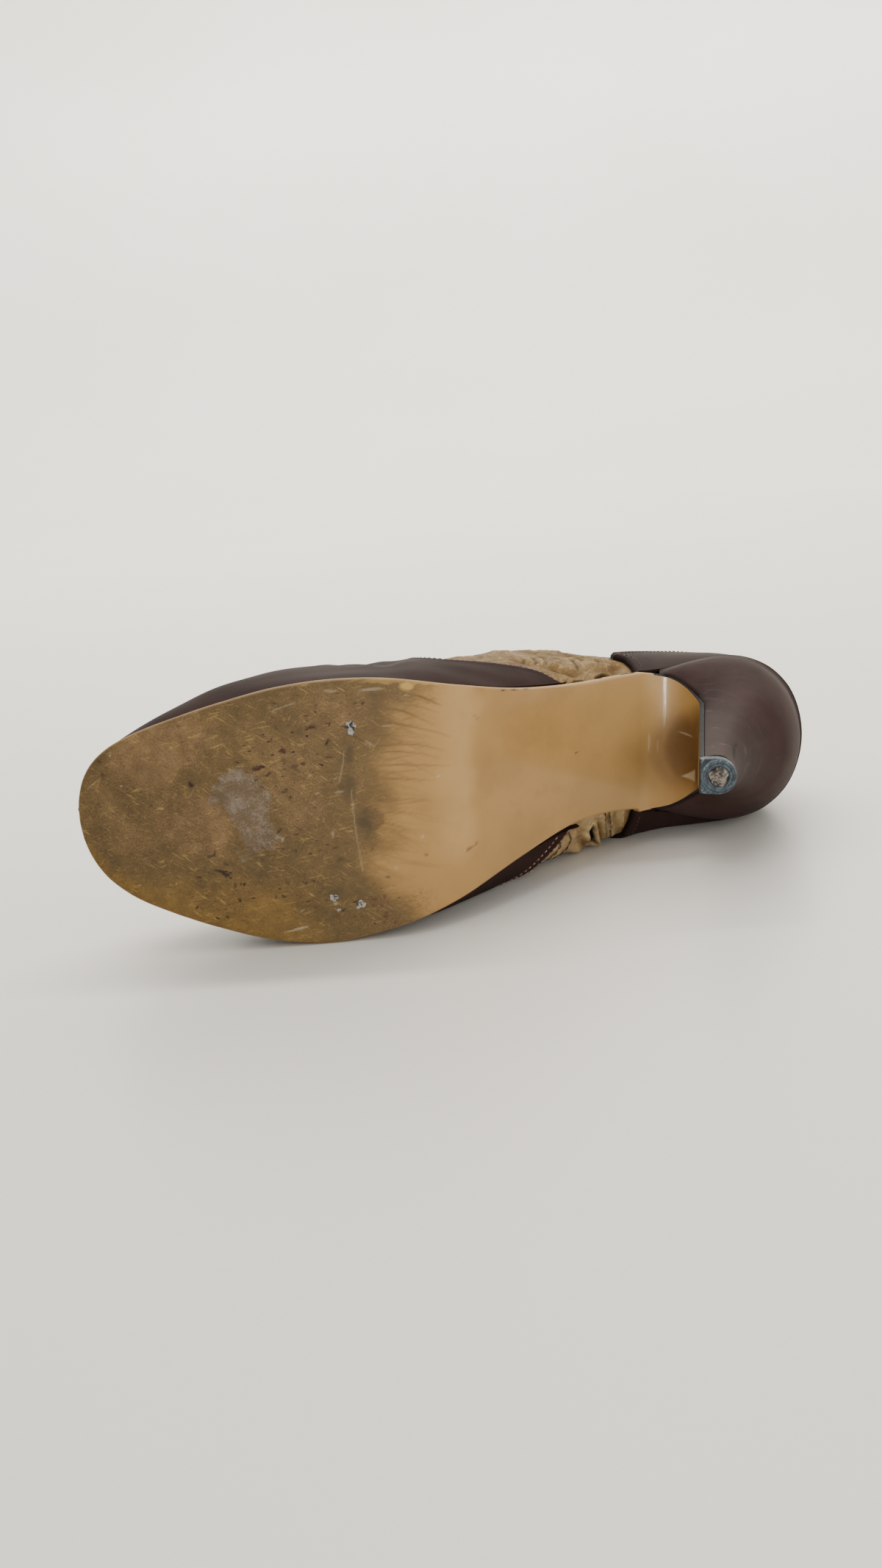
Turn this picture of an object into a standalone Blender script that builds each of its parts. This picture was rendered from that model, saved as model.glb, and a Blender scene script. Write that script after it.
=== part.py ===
"""Worn heeled shoe, left foot, lying on its inner side with the sole to the front."""
import math

import bpy
import numpy as np
from mathutils import Matrix, Vector

MM = 0.001

# Lengths are in millimetres. Stations run back from the toe tip along the ground.
SHOE_LENGTH = 210.0
TOE_SPRING = 4.0
FLAT_FROM = 62.0
SHANK_FROM = 87.8
SEAT_FROM = 170.0
SEAT_RISE = 75.3
SEAT_SLOPE = 0.448
SEAT_FLATTEN = 0.0035

GAP = 0.3
OVERLAY_GAP = 0.6
SOLE_THICK = 3.2
FLAP_THICK = 2.2
FOLD_FROM = 157.8
FOLD_RADIUS = 10.2
BREAST_SLANT = 0.05
TIP_HEIGHT = 5.0
INSOLE_THICK = 2.2
WALL = 2.0
OVERLAY_THICK = 1.2
EDGE_INSET = 2.0
PIN_RADIUS = 2.4

# Steps round the upper. The overlays start and end on these steps, so their facets lie parallel.
PLACES = 102
WING_STEPS_OUTER = 30
WING_STEPS_INNER = 31
COUNTER_STEP = 34

# The lie: turns that set the ball's inner sole edge and the soft inner side on the floor, and the
# shift that puts the middle of the shoe over the origin.
LIE_LEAN = math.radians(-5.4)
LIE_DROP = math.radians(6.5)
LIE_SHIFT = (-103.61, -66.45)
PRESS_SOFT = 1.0

# Sole and heel seat outline: station, outer side, inner side.
OUTLINE = (
    (0.0, -12.8, -12.8), (3.0, -1.5, -25.5), (8.0, 3.9, -32.3), (16.0, 8.6, -37.8),
    (28.0, 13.5, -42.3), (42.0, 18.3, -46.1), (58.0, 22.8, -49.0), (74.0, 25.2, -49.0),
    (90.0, 25.5, -44.8), (106.0, 23.2, -38.1), (122.0, 20.8, -29.0), (138.0, 20.4, -21.8),
    (152.0, 21.6, -20.6), (164.0, 22.4, -22.0), (176.0, 24.4, -24.4), (188.0, 25.2, -25.2),
    (198.0, 22.4, -22.4), (205.0, 16.4, -16.4), (210.0, 0.0, 0.0),
)

# Breast flap: share of its length from the fold to the tip, half width.
FLAP_WIDTHS = ((0.0, 21.9), (0.12, 20.2), (0.25, 14.6), (0.45, 11.2), (0.7, 7.4), (1.0, 4.7))

# Heel sections: share of the flap's length from the fold, length front to back, widest half width.
HEEL_SECTIONS = (
    (0.07, 43.0, 25.0), (0.12, 40.0, 24.2), (0.2, 33.0, 20.6), (0.28, 26.5, 17.0), (0.4, 19.5, 13.2),
    (0.55, 14.2, 10.3), (0.7, 11.0, 8.2), (0.85, 9.0, 6.5), (1.0, 8.0, 5.2),
)

# Upper lines, outer side then inner side. Columns: station at the sole, collar station, collar side,
# collar height, then the leaving and the arriving run as back, out, up.
UPPER_OUTER = (
    (0.0, 105.0, -7.0, 88.0, -18.0, 0.0, 90.0, 70.0, 0.0, 135.0),
    (10.0, 106.0, 2.0, 88.3, -10.0, 18.0, 90.0, 67.0, -8.0, 132.0),
    (35.0, 108.0, 8.5, 89.5, 0.0, 46.0, 84.0, 60.0, -26.0, 112.0),
    (75.0, 114.0, 15.0, 93.0, 6.0, 12.0, 74.0, 48.0, -34.0, 76.0),
    (110.0, 128.0, 24.5, 101.0, 6.0, 25.0, 72.0, 30.0, -14.0, 62.0),
    (140.0, 149.0, 21.0, 113.0, 4.0, 32.0, 66.0, 12.0, -11.5, 58.0),
    (165.0, 168.0, 19.5, 124.0, 2.0, 22.0, 58.0, 0.0, -10.0, 52.0),
    (190.0, 185.0, 13.5, 132.5, 5.0, 9.0, 56.0, -12.0, -7.5, 48.0),
    (205.0, 193.5, 6.0, 137.0, 13.0, 4.0, 54.0, -20.0, -4.0, 48.0),
    (210.0, 196.0, 0.0, 138.0, 18.0, 0.0, 54.0, -22.0, 0.0, 48.0),
)
UPPER_INNER = (
    (0.0, 105.0, 7.0, 88.0, -18.0, 0.0, 90.0, 70.0, 0.0, 135.0),
    (10.0, 106.0, 15.0, 88.3, -10.0, 18.0, 90.0, 67.0, -8.0, 132.0),
    (35.0, 108.0, 20.5, 89.5, 0.0, 22.0, 84.0, 60.0, -26.0, 112.0),
    (75.0, 114.0, 26.0, 93.0, 6.0, 14.0, 74.0, 48.0, -34.0, 76.0),
    (110.0, 128.0, 30.0, 101.0, 6.0, 44.0, 70.0, 30.0, -18.0, 62.0),
    (140.0, 149.0, 30.5, 113.0, 4.0, 86.0, 62.0, 12.0, -14.0, 58.0),
    (165.0, 168.0, 30.5, 124.0, 2.0, 64.0, 58.0, 0.0, -12.0, 52.0),
    (190.0, 185.0, 23.0, 132.5, 5.0, 38.0, 56.0, -12.0, -10.0, 48.0),
    (205.0, 193.5, 11.0, 137.0, 13.0, 13.0, 54.0, -20.0, -5.0, 48.0),
    (210.0, 196.0, 0.0, 138.0, 18.0, 0.0, 54.0, -22.0, 0.0, 48.0),
)

# Vamp top edge: share of the way from the toe to the wing's end, share of the way up to the collar.
VAMP_EDGE = (
    (0.0, 0.70), (0.3, 0.64), (0.55, 0.54), (0.7, 0.38), (0.8, 0.29), (0.88, 0.24), (0.95, 0.15), (1.0, 0.08),
)
# Counter top edge: share of the way from its front to the back of the heel, share of the way up.
COUNTER_EDGE = ((0.0, 0.38), (0.12, 0.48), (0.35, 0.61), (0.65, 0.70), (1.0, 0.74))
OVERLAY_FOOT = 0.006

LEATHER_TAN = (0.36, 0.23, 0.11, 1.0)
LEATHER_BROWN = (0.075, 0.042, 0.036, 1.0)
HEEL_BROWN = (0.075, 0.042, 0.04, 1.0)
SOLE_TAN = (0.47, 0.29, 0.14, 1.0)
LINING = (0.42, 0.31, 0.20, 1.0)
RUBBER = (0.16, 0.22, 0.27, 1.0)
STEEL = (0.55, 0.55, 0.53, 1.0)


def curve(table, column, at):
    """Smooth curve through one column of a table whose first column is the position."""
    rows = np.array(table, float)
    x = rows[:, 0]
    y = rows[:, column]
    slope = np.gradient(y, x)
    i = np.clip(np.searchsorted(x, at) - 1, 0, len(x) - 2)
    step = x[i + 1] - x[i]
    t = np.clip((at - x[i]) / step, 0.0, 1.0)
    return (
        (2 * t**3 - 3 * t**2 + 1) * y[i]
        + (t**3 - 2 * t**2 + t) * step * slope[i]
        + (3 * t**2 - 2 * t**3) * y[i + 1]
        + (t**3 - t**2) * step * slope[i + 1]
    )


def share_of(station):
    """Share of the way from toe to heel that spreads the round ends."""
    return np.arccos(1.0 - 2.0 * np.asarray(station, float) / SHOE_LENGTH) / math.pi


def station_of(share):
    return SHOE_LENGTH * 0.5 * (1.0 - np.cos(math.pi * np.asarray(share, float)))


def around(outer_rows, inner_rows, column):
    """Table round the shoe: toe 0, heel 1, and back to the toe at 2, with a turn added at each end."""
    ring = [(float(share_of(row[0])), row[column]) for row in outer_rows]
    ring += [(2.0 - float(share_of(row[0])), row[column]) for row in reversed(inner_rows[1:-1])]
    before = [(place - 2.0, value) for place, value in ring[-4:]]
    after = [(place + 2.0, value) for place, value in ring[:4]]
    return before + ring + after


def profile(station):
    """Height of the line where the upper meets the sole."""
    toe = TOE_SPRING * (np.maximum(FLAT_FROM - station, 0.0) / FLAT_FROM) ** 2
    t = np.clip((station - SHANK_FROM) / (SEAT_FROM - SHANK_FROM), 0.0, 1.0)
    shank = SEAT_RISE * ((3.0 - SEAT_SLOPE) * t**2 + (SEAT_SLOPE - 2.0) * t**3)
    past = np.maximum(station - SEAT_FROM, 0.0)
    seat = SEAT_SLOPE * SEAT_RISE / (SEAT_FROM - SHANK_FROM) * past - SEAT_FLATTEN * past**2
    return toe + shank + seat + SOLE_THICK + GAP


def profile_angle(station):
    return np.arctan2(profile(station + 0.05) - profile(station - 0.05), 0.1)


def on_last(station, side, height):
    """Point at a station and side, raised square to the bottom line of the shoe."""
    angle = profile_angle(station)
    return np.stack(
        [-(station - np.sin(angle) * height), side, profile(station) + np.cos(angle) * height], axis=-1
    )


OUTLINE_RING = around([row[:2] for row in OUTLINE], [(row[0], row[2]) for row in OUTLINE], 1)


def outline(place, inset=0.0):
    """Station and side on the outline at a place round the shoe, moved in by an inset."""
    share = np.where(np.mod(place, 2.0) <= 1.0, np.mod(place, 2.0), 2.0 - np.mod(place, 2.0))
    station = station_of(share)
    side = curve(OUTLINE_RING, 1, np.mod(place, 2.0))
    if inset == 0.0:
        return station, side
    ahead = outline(place + 0.002)
    behind = outline(place - 0.002)
    along = np.stack([ahead[0] - behind[0], ahead[1] - behind[1]])
    along /= np.linalg.norm(along, axis=0)
    return station + along[1] * inset, side - along[0] * inset


RUN_COLUMNS = ("collar_u", "collar_y", "collar_z", "back_0", "out_0", "up_0", "back_1", "out_1", "up_1")
SIDED = ("collar_y", "out_0", "out_1")


def upper_tables():
    tables = {}
    for number, name in enumerate(RUN_COLUMNS, start=1):
        inner = UPPER_INNER
        if name in SIDED:
            inner = [row[:number] + (-row[number],) + row[number + 1:] for row in UPPER_INNER]
        tables[name] = around(UPPER_OUTER, inner, number)
    return tables


UPPER_TABLES = upper_tables()


def over_floor(points):
    """Height over the floor, before the lift, of points in the standing shoe's axes."""
    leaned = points[..., 2] * math.sin(LIE_LEAN) + points[..., 1] * math.cos(LIE_LEAN)
    return points[..., 0] * math.sin(LIE_DROP) + leaned * math.cos(LIE_DROP)


def sole_edge_height():
    """Lowest point of the sole's inner edge over the floor, before the lift."""
    place = np.linspace(1.3, 2.0, 400)
    station, side = outline(place)
    edges = [on_last(station, side, np.full_like(station, depth)) for depth in (-SOLE_THICK - GAP, -GAP)]
    return float(over_floor(np.array(edges)).min())


FLOOR = sole_edge_height()


def press(points):
    """Soft leather flattened by the floor, with room left for the overlays."""
    depth = over_floor(points) - FLOOR - OVERLAY_GAP - OVERLAY_THICK
    eased = 0.5 * (depth + np.sqrt(depth**2 + PRESS_SOFT**2))
    pressed = points.copy()
    pressed[..., 1] += (eased - depth) / (math.cos(LIE_LEAN) * math.cos(LIE_DROP))
    return pressed


def upper_point(place, up):
    """Outer face of the upper: place round the shoe, share of the way from sole to collar."""
    around_place = np.mod(place, 2.0)
    run = {name: curve(UPPER_TABLES[name], 1, around_place) for name in RUN_COLUMNS}
    station, side = outline(place, EDGE_INSET)
    foot = on_last(station, side, np.zeros_like(station))
    collar = np.stack([-run["collar_u"], run["collar_y"], run["collar_z"]], axis=-1)
    leave = np.stack([-run["back_0"], run["out_0"], run["up_0"]], axis=-1)
    arrive = np.stack([-run["back_1"], run["out_1"], run["up_1"]], axis=-1)
    t = np.asarray(up, float)[..., None]
    return press(
        (2 * t**3 - 3 * t**2 + 1) * foot
        + (t**3 - 2 * t**2 + t) * leave
        + (3 * t**2 - 2 * t**3) * collar
        + (t**3 - t**2) * arrive
    )


def upper_face(place, up, offset):
    """Upper's outer face moved out along its own normal."""
    step = 0.004
    base = upper_point(place, up)
    if offset == 0.0:
        return base
    along = upper_point(place + step, up) - upper_point(place - step, up)
    rise = upper_point(place, up + step) - upper_point(place, up - step)
    normal = np.cross(along, rise)
    normal /= np.linalg.norm(normal, axis=-1, keepdims=True)
    return base + normal * offset


def material(name, colour, roughness, metallic=0.0):
    made = bpy.data.materials.new(name)
    made.use_nodes = True
    shader = made.node_tree.nodes["Principled BSDF"]
    shader.inputs["Base Color"].default_value = colour
    shader.inputs["Roughness"].default_value = roughness
    shader.inputs["Metallic"].default_value = metallic
    return made


def lie_matrix():
    """Turns the standing shoe onto its inner side: heel to the right, sole to the front."""
    over = Matrix(((-1.0, 0.0, 0.0), (0.0, 0.0, 1.0), (0.0, 1.0, 0.0))).to_4x4()
    lean = Matrix.Rotation(LIE_LEAN, 4, "X")
    drop = Matrix.Rotation(LIE_DROP, 4, "Y")
    shift = Matrix.Translation(Vector((LIE_SHIFT[0], LIE_SHIFT[1], -FLOOR)) * MM)
    return shift @ drop @ lean @ over


def add_piece(name, points, faces, finish):
    mesh = bpy.data.meshes.new(name)
    mesh.from_pydata([tuple(point * MM) for point in points], [], faces)
    mesh.update()
    piece = bpy.data.objects.new(name, mesh)
    bpy.context.scene.collection.objects.link(piece)
    piece.matrix_world = lie_matrix()
    piece.data.materials.append(finish)
    return piece


def grid_shell(outer, inner, closed):
    """Closed body between two grids of the same size, open or closed along the rows."""
    rows, columns = outer.shape[:2]
    points = np.concatenate([outer.reshape(-1, 3), inner.reshape(-1, 3)])
    count = rows * columns
    faces = []

    def at(row, column, layer):
        return (row % rows) * columns + column + layer * count

    last = rows if closed else rows - 1
    for row in range(last):
        for column in range(columns - 1):
            near = [at(row, column, 0), at(row + 1, column, 0)]
            far = [at(row + 1, column + 1, 0), at(row, column + 1, 0)]
            faces.append(tuple(near + far))
            faces.append(tuple(corner + count for corner in reversed(near + far)))
        for column, turn in ((0, 1), (columns - 1, -1)):
            edge = [at(row, column, 0), at(row, column, 1), at(row + 1, column, 1), at(row + 1, column, 0)]
            faces.append(tuple(edge[::turn]))
    if not closed:
        for row, turn in ((0, -1), (rows - 1, 1)):
            for column in range(columns - 1):
                near = [at(row, column, 0), at(row, column, 1)]
                far = [at(row, column + 1, 1), at(row, column + 1, 0)]
                faces.append(tuple((near + far)[::turn]))
    return points, faces


def sole_path():
    """Under face of the sole through the fold and down the breast: rows of station, height, angle."""
    angle = float(profile_angle(FOLD_FROM))
    start = on_last(np.array(FOLD_FROM), np.array(0.0), -SOLE_THICK - GAP)
    station = -float(start[0])
    height = float(start[2])
    rows = [(station, height, angle)]
    last_angle = -math.pi / 2.0 - BREAST_SLANT
    turns = 10
    step = (last_angle - angle) / turns
    for _ in range(turns):
        station += math.cos(angle + step / 2.0) * FOLD_RADIUS * abs(step)
        height += math.sin(angle + step / 2.0) * FOLD_RADIUS * abs(step)
        angle += step
        rows.append((station, height, angle))
    drops = 10
    down = (height - TIP_HEIGHT - GAP) / drops
    for _ in range(drops):
        station -= down * math.tan(BREAST_SLANT)
        height -= down
        rows.append((station, height, angle))
    rows = np.array(rows)
    run = np.concatenate([[0.0], np.cumsum(np.hypot(np.diff(rows[:, 0]), np.diff(rows[:, 1])))])
    return rows, run / run[-1]


FLAP_ROWS, FLAP_SHARES = sole_path()


def flap_point(share, depth):
    """Station and height on the flap at a share of its length, at a depth behind its face."""
    station = np.interp(share, FLAP_SHARES, FLAP_ROWS[:, 0])
    height = np.interp(share, FLAP_SHARES, FLAP_ROWS[:, 1])
    angle = np.interp(share, FLAP_SHARES, FLAP_ROWS[:, 2])
    return station - np.sin(angle) * depth, height + np.cos(angle) * depth


def flap_thick(share):
    return SOLE_THICK + (FLAP_THICK - SOLE_THICK) * share


def build_outsole(finish):
    across = np.linspace(0.0, 1.0, 5)
    lower = []
    upper = []
    for share in np.linspace(0.012, float(share_of(FOLD_FROM)), 40)[:-1]:
        station, outer_side = outline(np.array(share))
        inner_side = outline(np.array(2.0 - share))[1]
        side = inner_side + (outer_side - inner_side) * across
        stations = np.full_like(side, station)
        lower.append(on_last(stations, side, -SOLE_THICK - GAP))
        upper.append(on_last(stations, side, -GAP))
    for share in FLAP_SHARES:
        half = float(curve(FLAP_WIDTHS, 1, share))
        side = half * (2.0 * across - 1.0)
        for rows, depth in ((lower, 0.0), (upper, flap_thick(share))):
            station, height = flap_point(share, depth)
            rows.append(np.stack([np.full(5, -station), side, np.full(5, height)], axis=-1))
    return add_piece("outsole", *grid_shell(np.array(lower), np.array(upper), False), finish)


def half_section(front_half, widest_half, length, count):
    """Half of a heel section from front to back: run back from the front, half width."""
    back = 1.0 - (1.0 - np.linspace(0.0, 1.0, count)) ** 2
    swell = np.minimum(back / 0.42, 1.0)
    half = front_half + (widest_half - front_half) * swell * (2.0 - swell)
    round_off = np.maximum((back - 0.42) / 0.58, 0.0)
    return back * length, half * np.sqrt(np.maximum(1.0 - round_off**2.3, 0.0))


def both_sides(run, half):
    """Loop round a section: outer side front to back, then inner side back to front."""
    return np.concatenate([run, run[-2::-1]]), np.concatenate([half, -half[-2::-1]])


def loft(rings):
    """Closed body through rings that run from the front round the back, bottom ring first."""
    rings = np.array(rings)
    levels, count = rings.shape[:2]
    half = count // 2
    faces = []
    for level in range(levels - 1):
        for i in range(count):
            j = (i + 1) % count
            low = level * count
            high = low + count
            faces.append((low + i, low + j, high + j, high + i))
    for base, turn in ((0, -1), ((levels - 1) * count, 1)):
        for i in range(half):
            corners = [base + i, base + i + 1, base + count - 2 - i, base + count - 1 - i]
            if i == half - 1:
                corners = corners[:2] + corners[3:]
            faces.append(tuple(corners[::turn]))
    return rings.reshape(-1, 3), faces


def build_heel(finish):
    count = 16
    rings = []
    for share in FLAP_SHARES[FLAP_SHARES > HEEL_SECTIONS[0][0]][::-1]:
        length = float(curve(HEEL_SECTIONS, 1, share))
        widest = float(curve(HEEL_SECTIONS, 2, share))
        front_half = float(curve(FLAP_WIDTHS, 1, share))
        station, height = flap_point(share, flap_thick(share) + GAP)
        run, half = both_sides(*half_section(front_half, max(widest, front_half), length, count))
        follow = min(max((0.3 - share) / 0.2, 0.0), 1.0)
        rise = follow * (profile(station + run) - profile(station))
        rings.append(np.stack([-(station + run), half, height + rise], axis=-1))
    station = -rings[-1][0, 0]
    back = 1.0 - (1.0 - np.linspace(0.0, 1.0, count)) ** 2
    seat = station + back * (SHOE_LENGTH - station)
    seat, side = both_sides(seat, curve(OUTLINE_RING, 1, share_of(seat)))
    rings.append(on_last(seat, side, -GAP))
    return add_piece("heel", *loft(rings), finish)


def build_top_piece(finish):
    count = 16
    front = float(flap_point(1.0, 0.0)[0])
    run, half = both_sides(*half_section(4.75, 5.15, 10.3, count))
    middle = 5.1
    flat = np.linspace(half[-1], half[0], 9)[1:-1]
    run = np.concatenate([run, np.zeros_like(flat)])
    ring = np.stack([-(front + run), np.concatenate([half, flat])], axis=-1)
    centre = np.array([-(front + middle), 0.0])
    spoke = ring - centre
    spoke /= np.linalg.norm(spoke, axis=1, keepdims=True)
    hole = centre + spoke * (PIN_RADIUS + GAP)
    levels = []
    for loop, height in ((ring, 0.0), (ring, TIP_HEIGHT), (hole, TIP_HEIGHT), (hole, 0.0)):
        levels.append(np.column_stack([loop, np.full(len(loop), height)]))
    points = np.array(levels)
    around_count = points.shape[1]
    faces = []
    for level in range(4):
        for i in range(around_count):
            j = (i + 1) % around_count
            low = level * around_count
            high = (level + 1) % 4 * around_count
            faces.append((low + i, low + j, high + j, high + i))
    return add_piece("top_piece", points.reshape(-1, 3), faces, finish), centre


def build_pin(centre, finish):
    count = 24
    turn = np.linspace(0.0, 2.0 * math.pi, count, endpoint=False)
    loop = centre + PIN_RADIUS * np.column_stack([np.cos(turn), np.sin(turn)])
    points = np.concatenate([np.column_stack([loop, np.full(count, z)]) for z in (0.0, TIP_HEIGHT)])
    faces = [(i, (i + 1) % count, (i + 1) % count + count, i + count) for i in range(count)]
    faces.append(tuple(range(count))[::-1])
    faces.append(tuple(range(count, 2 * count)))
    return add_piece("heel_pin", points, faces, finish)


def build_upper(finish):
    steps = np.linspace(0.0, 2.0, PLACES, endpoint=False)
    places, ups = np.meshgrid(steps, np.linspace(0.0, 1.0, 13), indexing="ij")
    outer = upper_face(places, ups, 0.0)
    inner = upper_face(places, ups, -WALL)
    return add_piece("upper", *grid_shell(outer, inner, True), finish)


def build_overlay(name, places, tops, columns, finish):
    """Overlay skin over a run of places, from the sole edge up to its own top edge."""
    share = np.linspace(0.0, 1.0, columns)
    rise = curve(UPPER_TABLES["up_0"], 1, np.mod(places, 2.0))
    foot = np.full_like(places, OVERLAY_FOOT)
    for _ in range(4):
        low = upper_face(places, foot, OVERLAY_GAP + OVERLAY_THICK)
        foot = foot + np.maximum(profile(-low[:, 0]) - low[:, 2], 0.0) / rise
    ups = foot[:, None] + (tops - foot)[:, None] * share[None, :]
    grid = np.repeat(places[:, None], columns, axis=1)
    inner = upper_face(grid, ups, OVERLAY_GAP)
    outer = upper_face(grid, ups, OVERLAY_GAP + OVERLAY_THICK)
    return add_piece(name, *grid_shell(outer, inner, False), finish)


def build_vamp(finish):
    places = np.arange(-WING_STEPS_INNER, WING_STEPS_OUTER + 1) * 2.0 / PLACES
    stations = station_of(np.abs(places))
    ends = np.where(places < 0.0, stations[0], stations[-1])
    return build_overlay("vamp", places, curve(VAMP_EDGE, 1, stations / ends), 9, finish)


def build_counter(finish):
    places = np.arange(COUNTER_STEP, PLACES - COUNTER_STEP + 1) * 2.0 / PLACES
    along = (1.0 - np.abs(places - 1.0) - places[0]) / (1.0 - places[0])
    return build_overlay("counter", places, curve(COUNTER_EDGE, 1, along), 9, finish)


def build_insole(finish):
    across = np.linspace(0.0, 1.0, 5)
    inset = EDGE_INSET + WALL + 2.0 * GAP
    lower = []
    upper = []
    for share in np.linspace(0.03, 0.985, 40):
        outer = outline(np.array(share), inset)
        inner = outline(np.array(2.0 - share), inset)
        stations = inner[0] + (outer[0] - inner[0]) * across
        side = inner[1] + (outer[1] - inner[1]) * across
        lower.append(on_last(stations, side, 0.0))
        upper.append(on_last(stations, side, INSOLE_THICK))
    return add_piece("insole", *grid_shell(np.array(lower), np.array(upper), False), finish)


def main():
    for item in list(bpy.data.objects):
        bpy.data.objects.remove(item, do_unlink=True)
    brown = material("brown_leather", LEATHER_BROWN, 0.45)
    build_outsole(material("sole_leather", SOLE_TAN, 0.55))
    build_heel(material("heel_cover", HEEL_BROWN, 0.4))
    centre = build_top_piece(material("grey_rubber", RUBBER, 0.5))[1]
    build_pin(centre, material("pin_steel", STEEL, 0.35, 1.0))
    build_upper(material("tan_leather", LEATHER_TAN, 0.6))
    build_vamp(brown)
    build_counter(brown)
    build_insole(material("lining_leather", LINING, 0.7))


main()
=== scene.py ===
"""Worn heeled shoe, left foot, lying on its inner side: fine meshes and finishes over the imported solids."""
import math

import bpy
import numpy as np
from bpy.props import FloatProperty, FloatVectorProperty, IntProperty, PointerProperty
from mathutils import Matrix, Vector


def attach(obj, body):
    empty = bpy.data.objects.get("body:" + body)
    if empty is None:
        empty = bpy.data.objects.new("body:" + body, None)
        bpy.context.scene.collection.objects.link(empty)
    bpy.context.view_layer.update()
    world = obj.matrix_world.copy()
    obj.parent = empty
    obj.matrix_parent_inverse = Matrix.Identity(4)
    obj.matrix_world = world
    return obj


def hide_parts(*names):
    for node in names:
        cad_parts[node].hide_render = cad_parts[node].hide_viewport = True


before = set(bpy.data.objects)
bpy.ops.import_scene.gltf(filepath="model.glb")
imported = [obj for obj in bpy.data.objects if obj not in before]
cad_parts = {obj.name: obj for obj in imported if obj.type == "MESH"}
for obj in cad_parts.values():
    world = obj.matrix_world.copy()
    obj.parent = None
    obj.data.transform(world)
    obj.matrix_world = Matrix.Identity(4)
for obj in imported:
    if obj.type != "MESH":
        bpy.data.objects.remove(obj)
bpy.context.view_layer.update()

bl_info = {
    "name": "Worn heeled shoe",
    "version": (1, 0, 0),
    "blender": (4, 5, 0),
    "location": "3D View > Sidebar > Shoe",
    "description": "Builds the sole, heel, upper, overlays, stitches and stage of a worn heeled shoe",
    "category": "Add Mesh",
}

MM = 0.001

# Lengths are in millimetres. Stations run back from the toe tip along the ground.
SHOE_LENGTH = 210.0
TOE_SPRING = 4.0
FLAT_FROM = 62.0
SHANK_FROM = 87.8
SEAT_FROM = 170.0
SEAT_RISE = 75.3
SEAT_SLOPE = 0.448
SEAT_FLATTEN = 0.0035

GAP = 0.3
SOLE_THICK = 3.2
FLAP_EDGE = 1.4
FLAP_THIN = 0.6
FLAP_ROUND = 0.5
FOLD_FROM = 157.8
FOLD_RADIUS = 10.2
BREAST_SLANT = 0.05
INSOLE_THICK = 2.2
INSOLE_ROUND = 0.8
EDGE_INSET = 2.0
WALL = 2.0
TAN_THICK = 0.95
LINING_DEPTH = 1.1
TEAR_DEPTH = 1.2
OVERLAY_GAP = 0.6
OVERLAY_THICK = 1.2
OVERLAY_ROUND = 1.0

# Heel: gap behind the flap, share of the flap's length at its top ring, rings, points on half a ring.
HEEL_GAP = 0.1
HEEL_TOP_SHARE = 0.0735
HEEL_RINGS = 110
HEEL_POINTS = 52
# Seat of the heel: how far its back spreads to meet the counter, rings up to it, smoothing passes.
SEAT_SPREAD = 1.3
SEAT_RINGS = 14
SEAT_PASSES = 70
# Rounded top edge of the seat: share in to the middle, drop.
SEAT_LIP = ((0.0, 0.5), (0.003, 0.16), (0.012, 0.02))

TIP_HEIGHT = 5.0
TIP_LENGTH = 10.0
TIP_FRONT_HALF = 4.6
TIP_WIDEST_HALF = 4.95
TIP_POINTS = 40
PIN_RADIUS = 2.4
PIN_BACK = 5.1
PIN_PLAY = 0.08
PIN_POINTS = 48
# Rings of the top piece from its bore round its worn face: share of the way to its edge, height.
TIP_LEVELS = (
    (0.0, TIP_HEIGHT), (0.0, 0.3), (0.04, 0.0), (0.15, 0.0), (0.3, 0.0), (0.45, 0.0), (0.6, 0.0),
    (0.75, 0.0), (0.88, 0.0), (0.95, 0.0), (0.985, 0.1), (1.0, 0.4), (1.0, 2.0), (1.0, 3.6), (0.99, 4.8),
    (0.95, TIP_HEIGHT),
)
# Pin with its worn head: share of its radius, height over the tip.
PIN_HEAD = (
    (0.05, TIP_HEIGHT), (1.0, TIP_HEIGHT), (1.0, 0.3), (1.07, 0.02), (1.08, -0.15), (1.0, -0.4),
    (0.85, -0.55), (0.7, -0.6), (0.55, -0.5), (0.4, -0.62), (0.25, -0.5), (0.12, -0.56), (0.02, -0.5),
)

# Stitch rows: distances in from the overlays' edges, lowest share up, and the row below the collar.
VAMP_STITCH_INSET = 1.2
SECOND_ROW_SPREAD = 3.4
COUNTER_STITCH_INSET = 3.0
STITCH_FOOT = 0.035
COLLAR_STITCH_UP = 0.962
SEAM_STITCH_LENGTH = 2.4
SEAM_STITCH_SPACE = 0.3
# One stitch from end to end: share of the thread's radius, rise in thread radii.
STITCH_SHAPE = ((0.45, -1.1), (0.9, -0.1), (1.0, 0.25), (1.0, 0.25), (0.9, -0.1), (0.45, -1.1))

LIE_LEAN = math.radians(-5.4)
LIE_DROP = math.radians(6.5)
LIE_SHIFT = (-103.61, -66.45)
PRESS_SOFT = 1.0
FLOOR_PLAY = 0.15

# Sole and heel seat outline: station, outer side, inner side.
OUTLINE = (
    (0.0, -12.8, -12.8), (3.0, -1.5, -25.5), (8.0, 3.9, -32.3), (16.0, 8.6, -37.8),
    (28.0, 13.5, -42.3), (42.0, 18.3, -46.1), (58.0, 22.8, -49.0), (74.0, 25.2, -49.0),
    (90.0, 25.5, -44.8), (106.0, 23.2, -38.1), (122.0, 20.8, -29.0), (138.0, 20.4, -21.8),
    (152.0, 21.6, -20.6), (164.0, 22.4, -22.0), (176.0, 24.4, -24.4), (188.0, 25.2, -25.2),
    (198.0, 22.4, -22.4), (205.0, 16.4, -16.4), (210.0, 0.0, 0.0),
)

# Breast flap: share of its length from the fold to the tip, half width.
FLAP_WIDTHS = ((0.0, 21.9), (0.12, 20.2), (0.25, 14.6), (0.45, 11.2), (0.7, 7.4), (1.0, 4.7))

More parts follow.
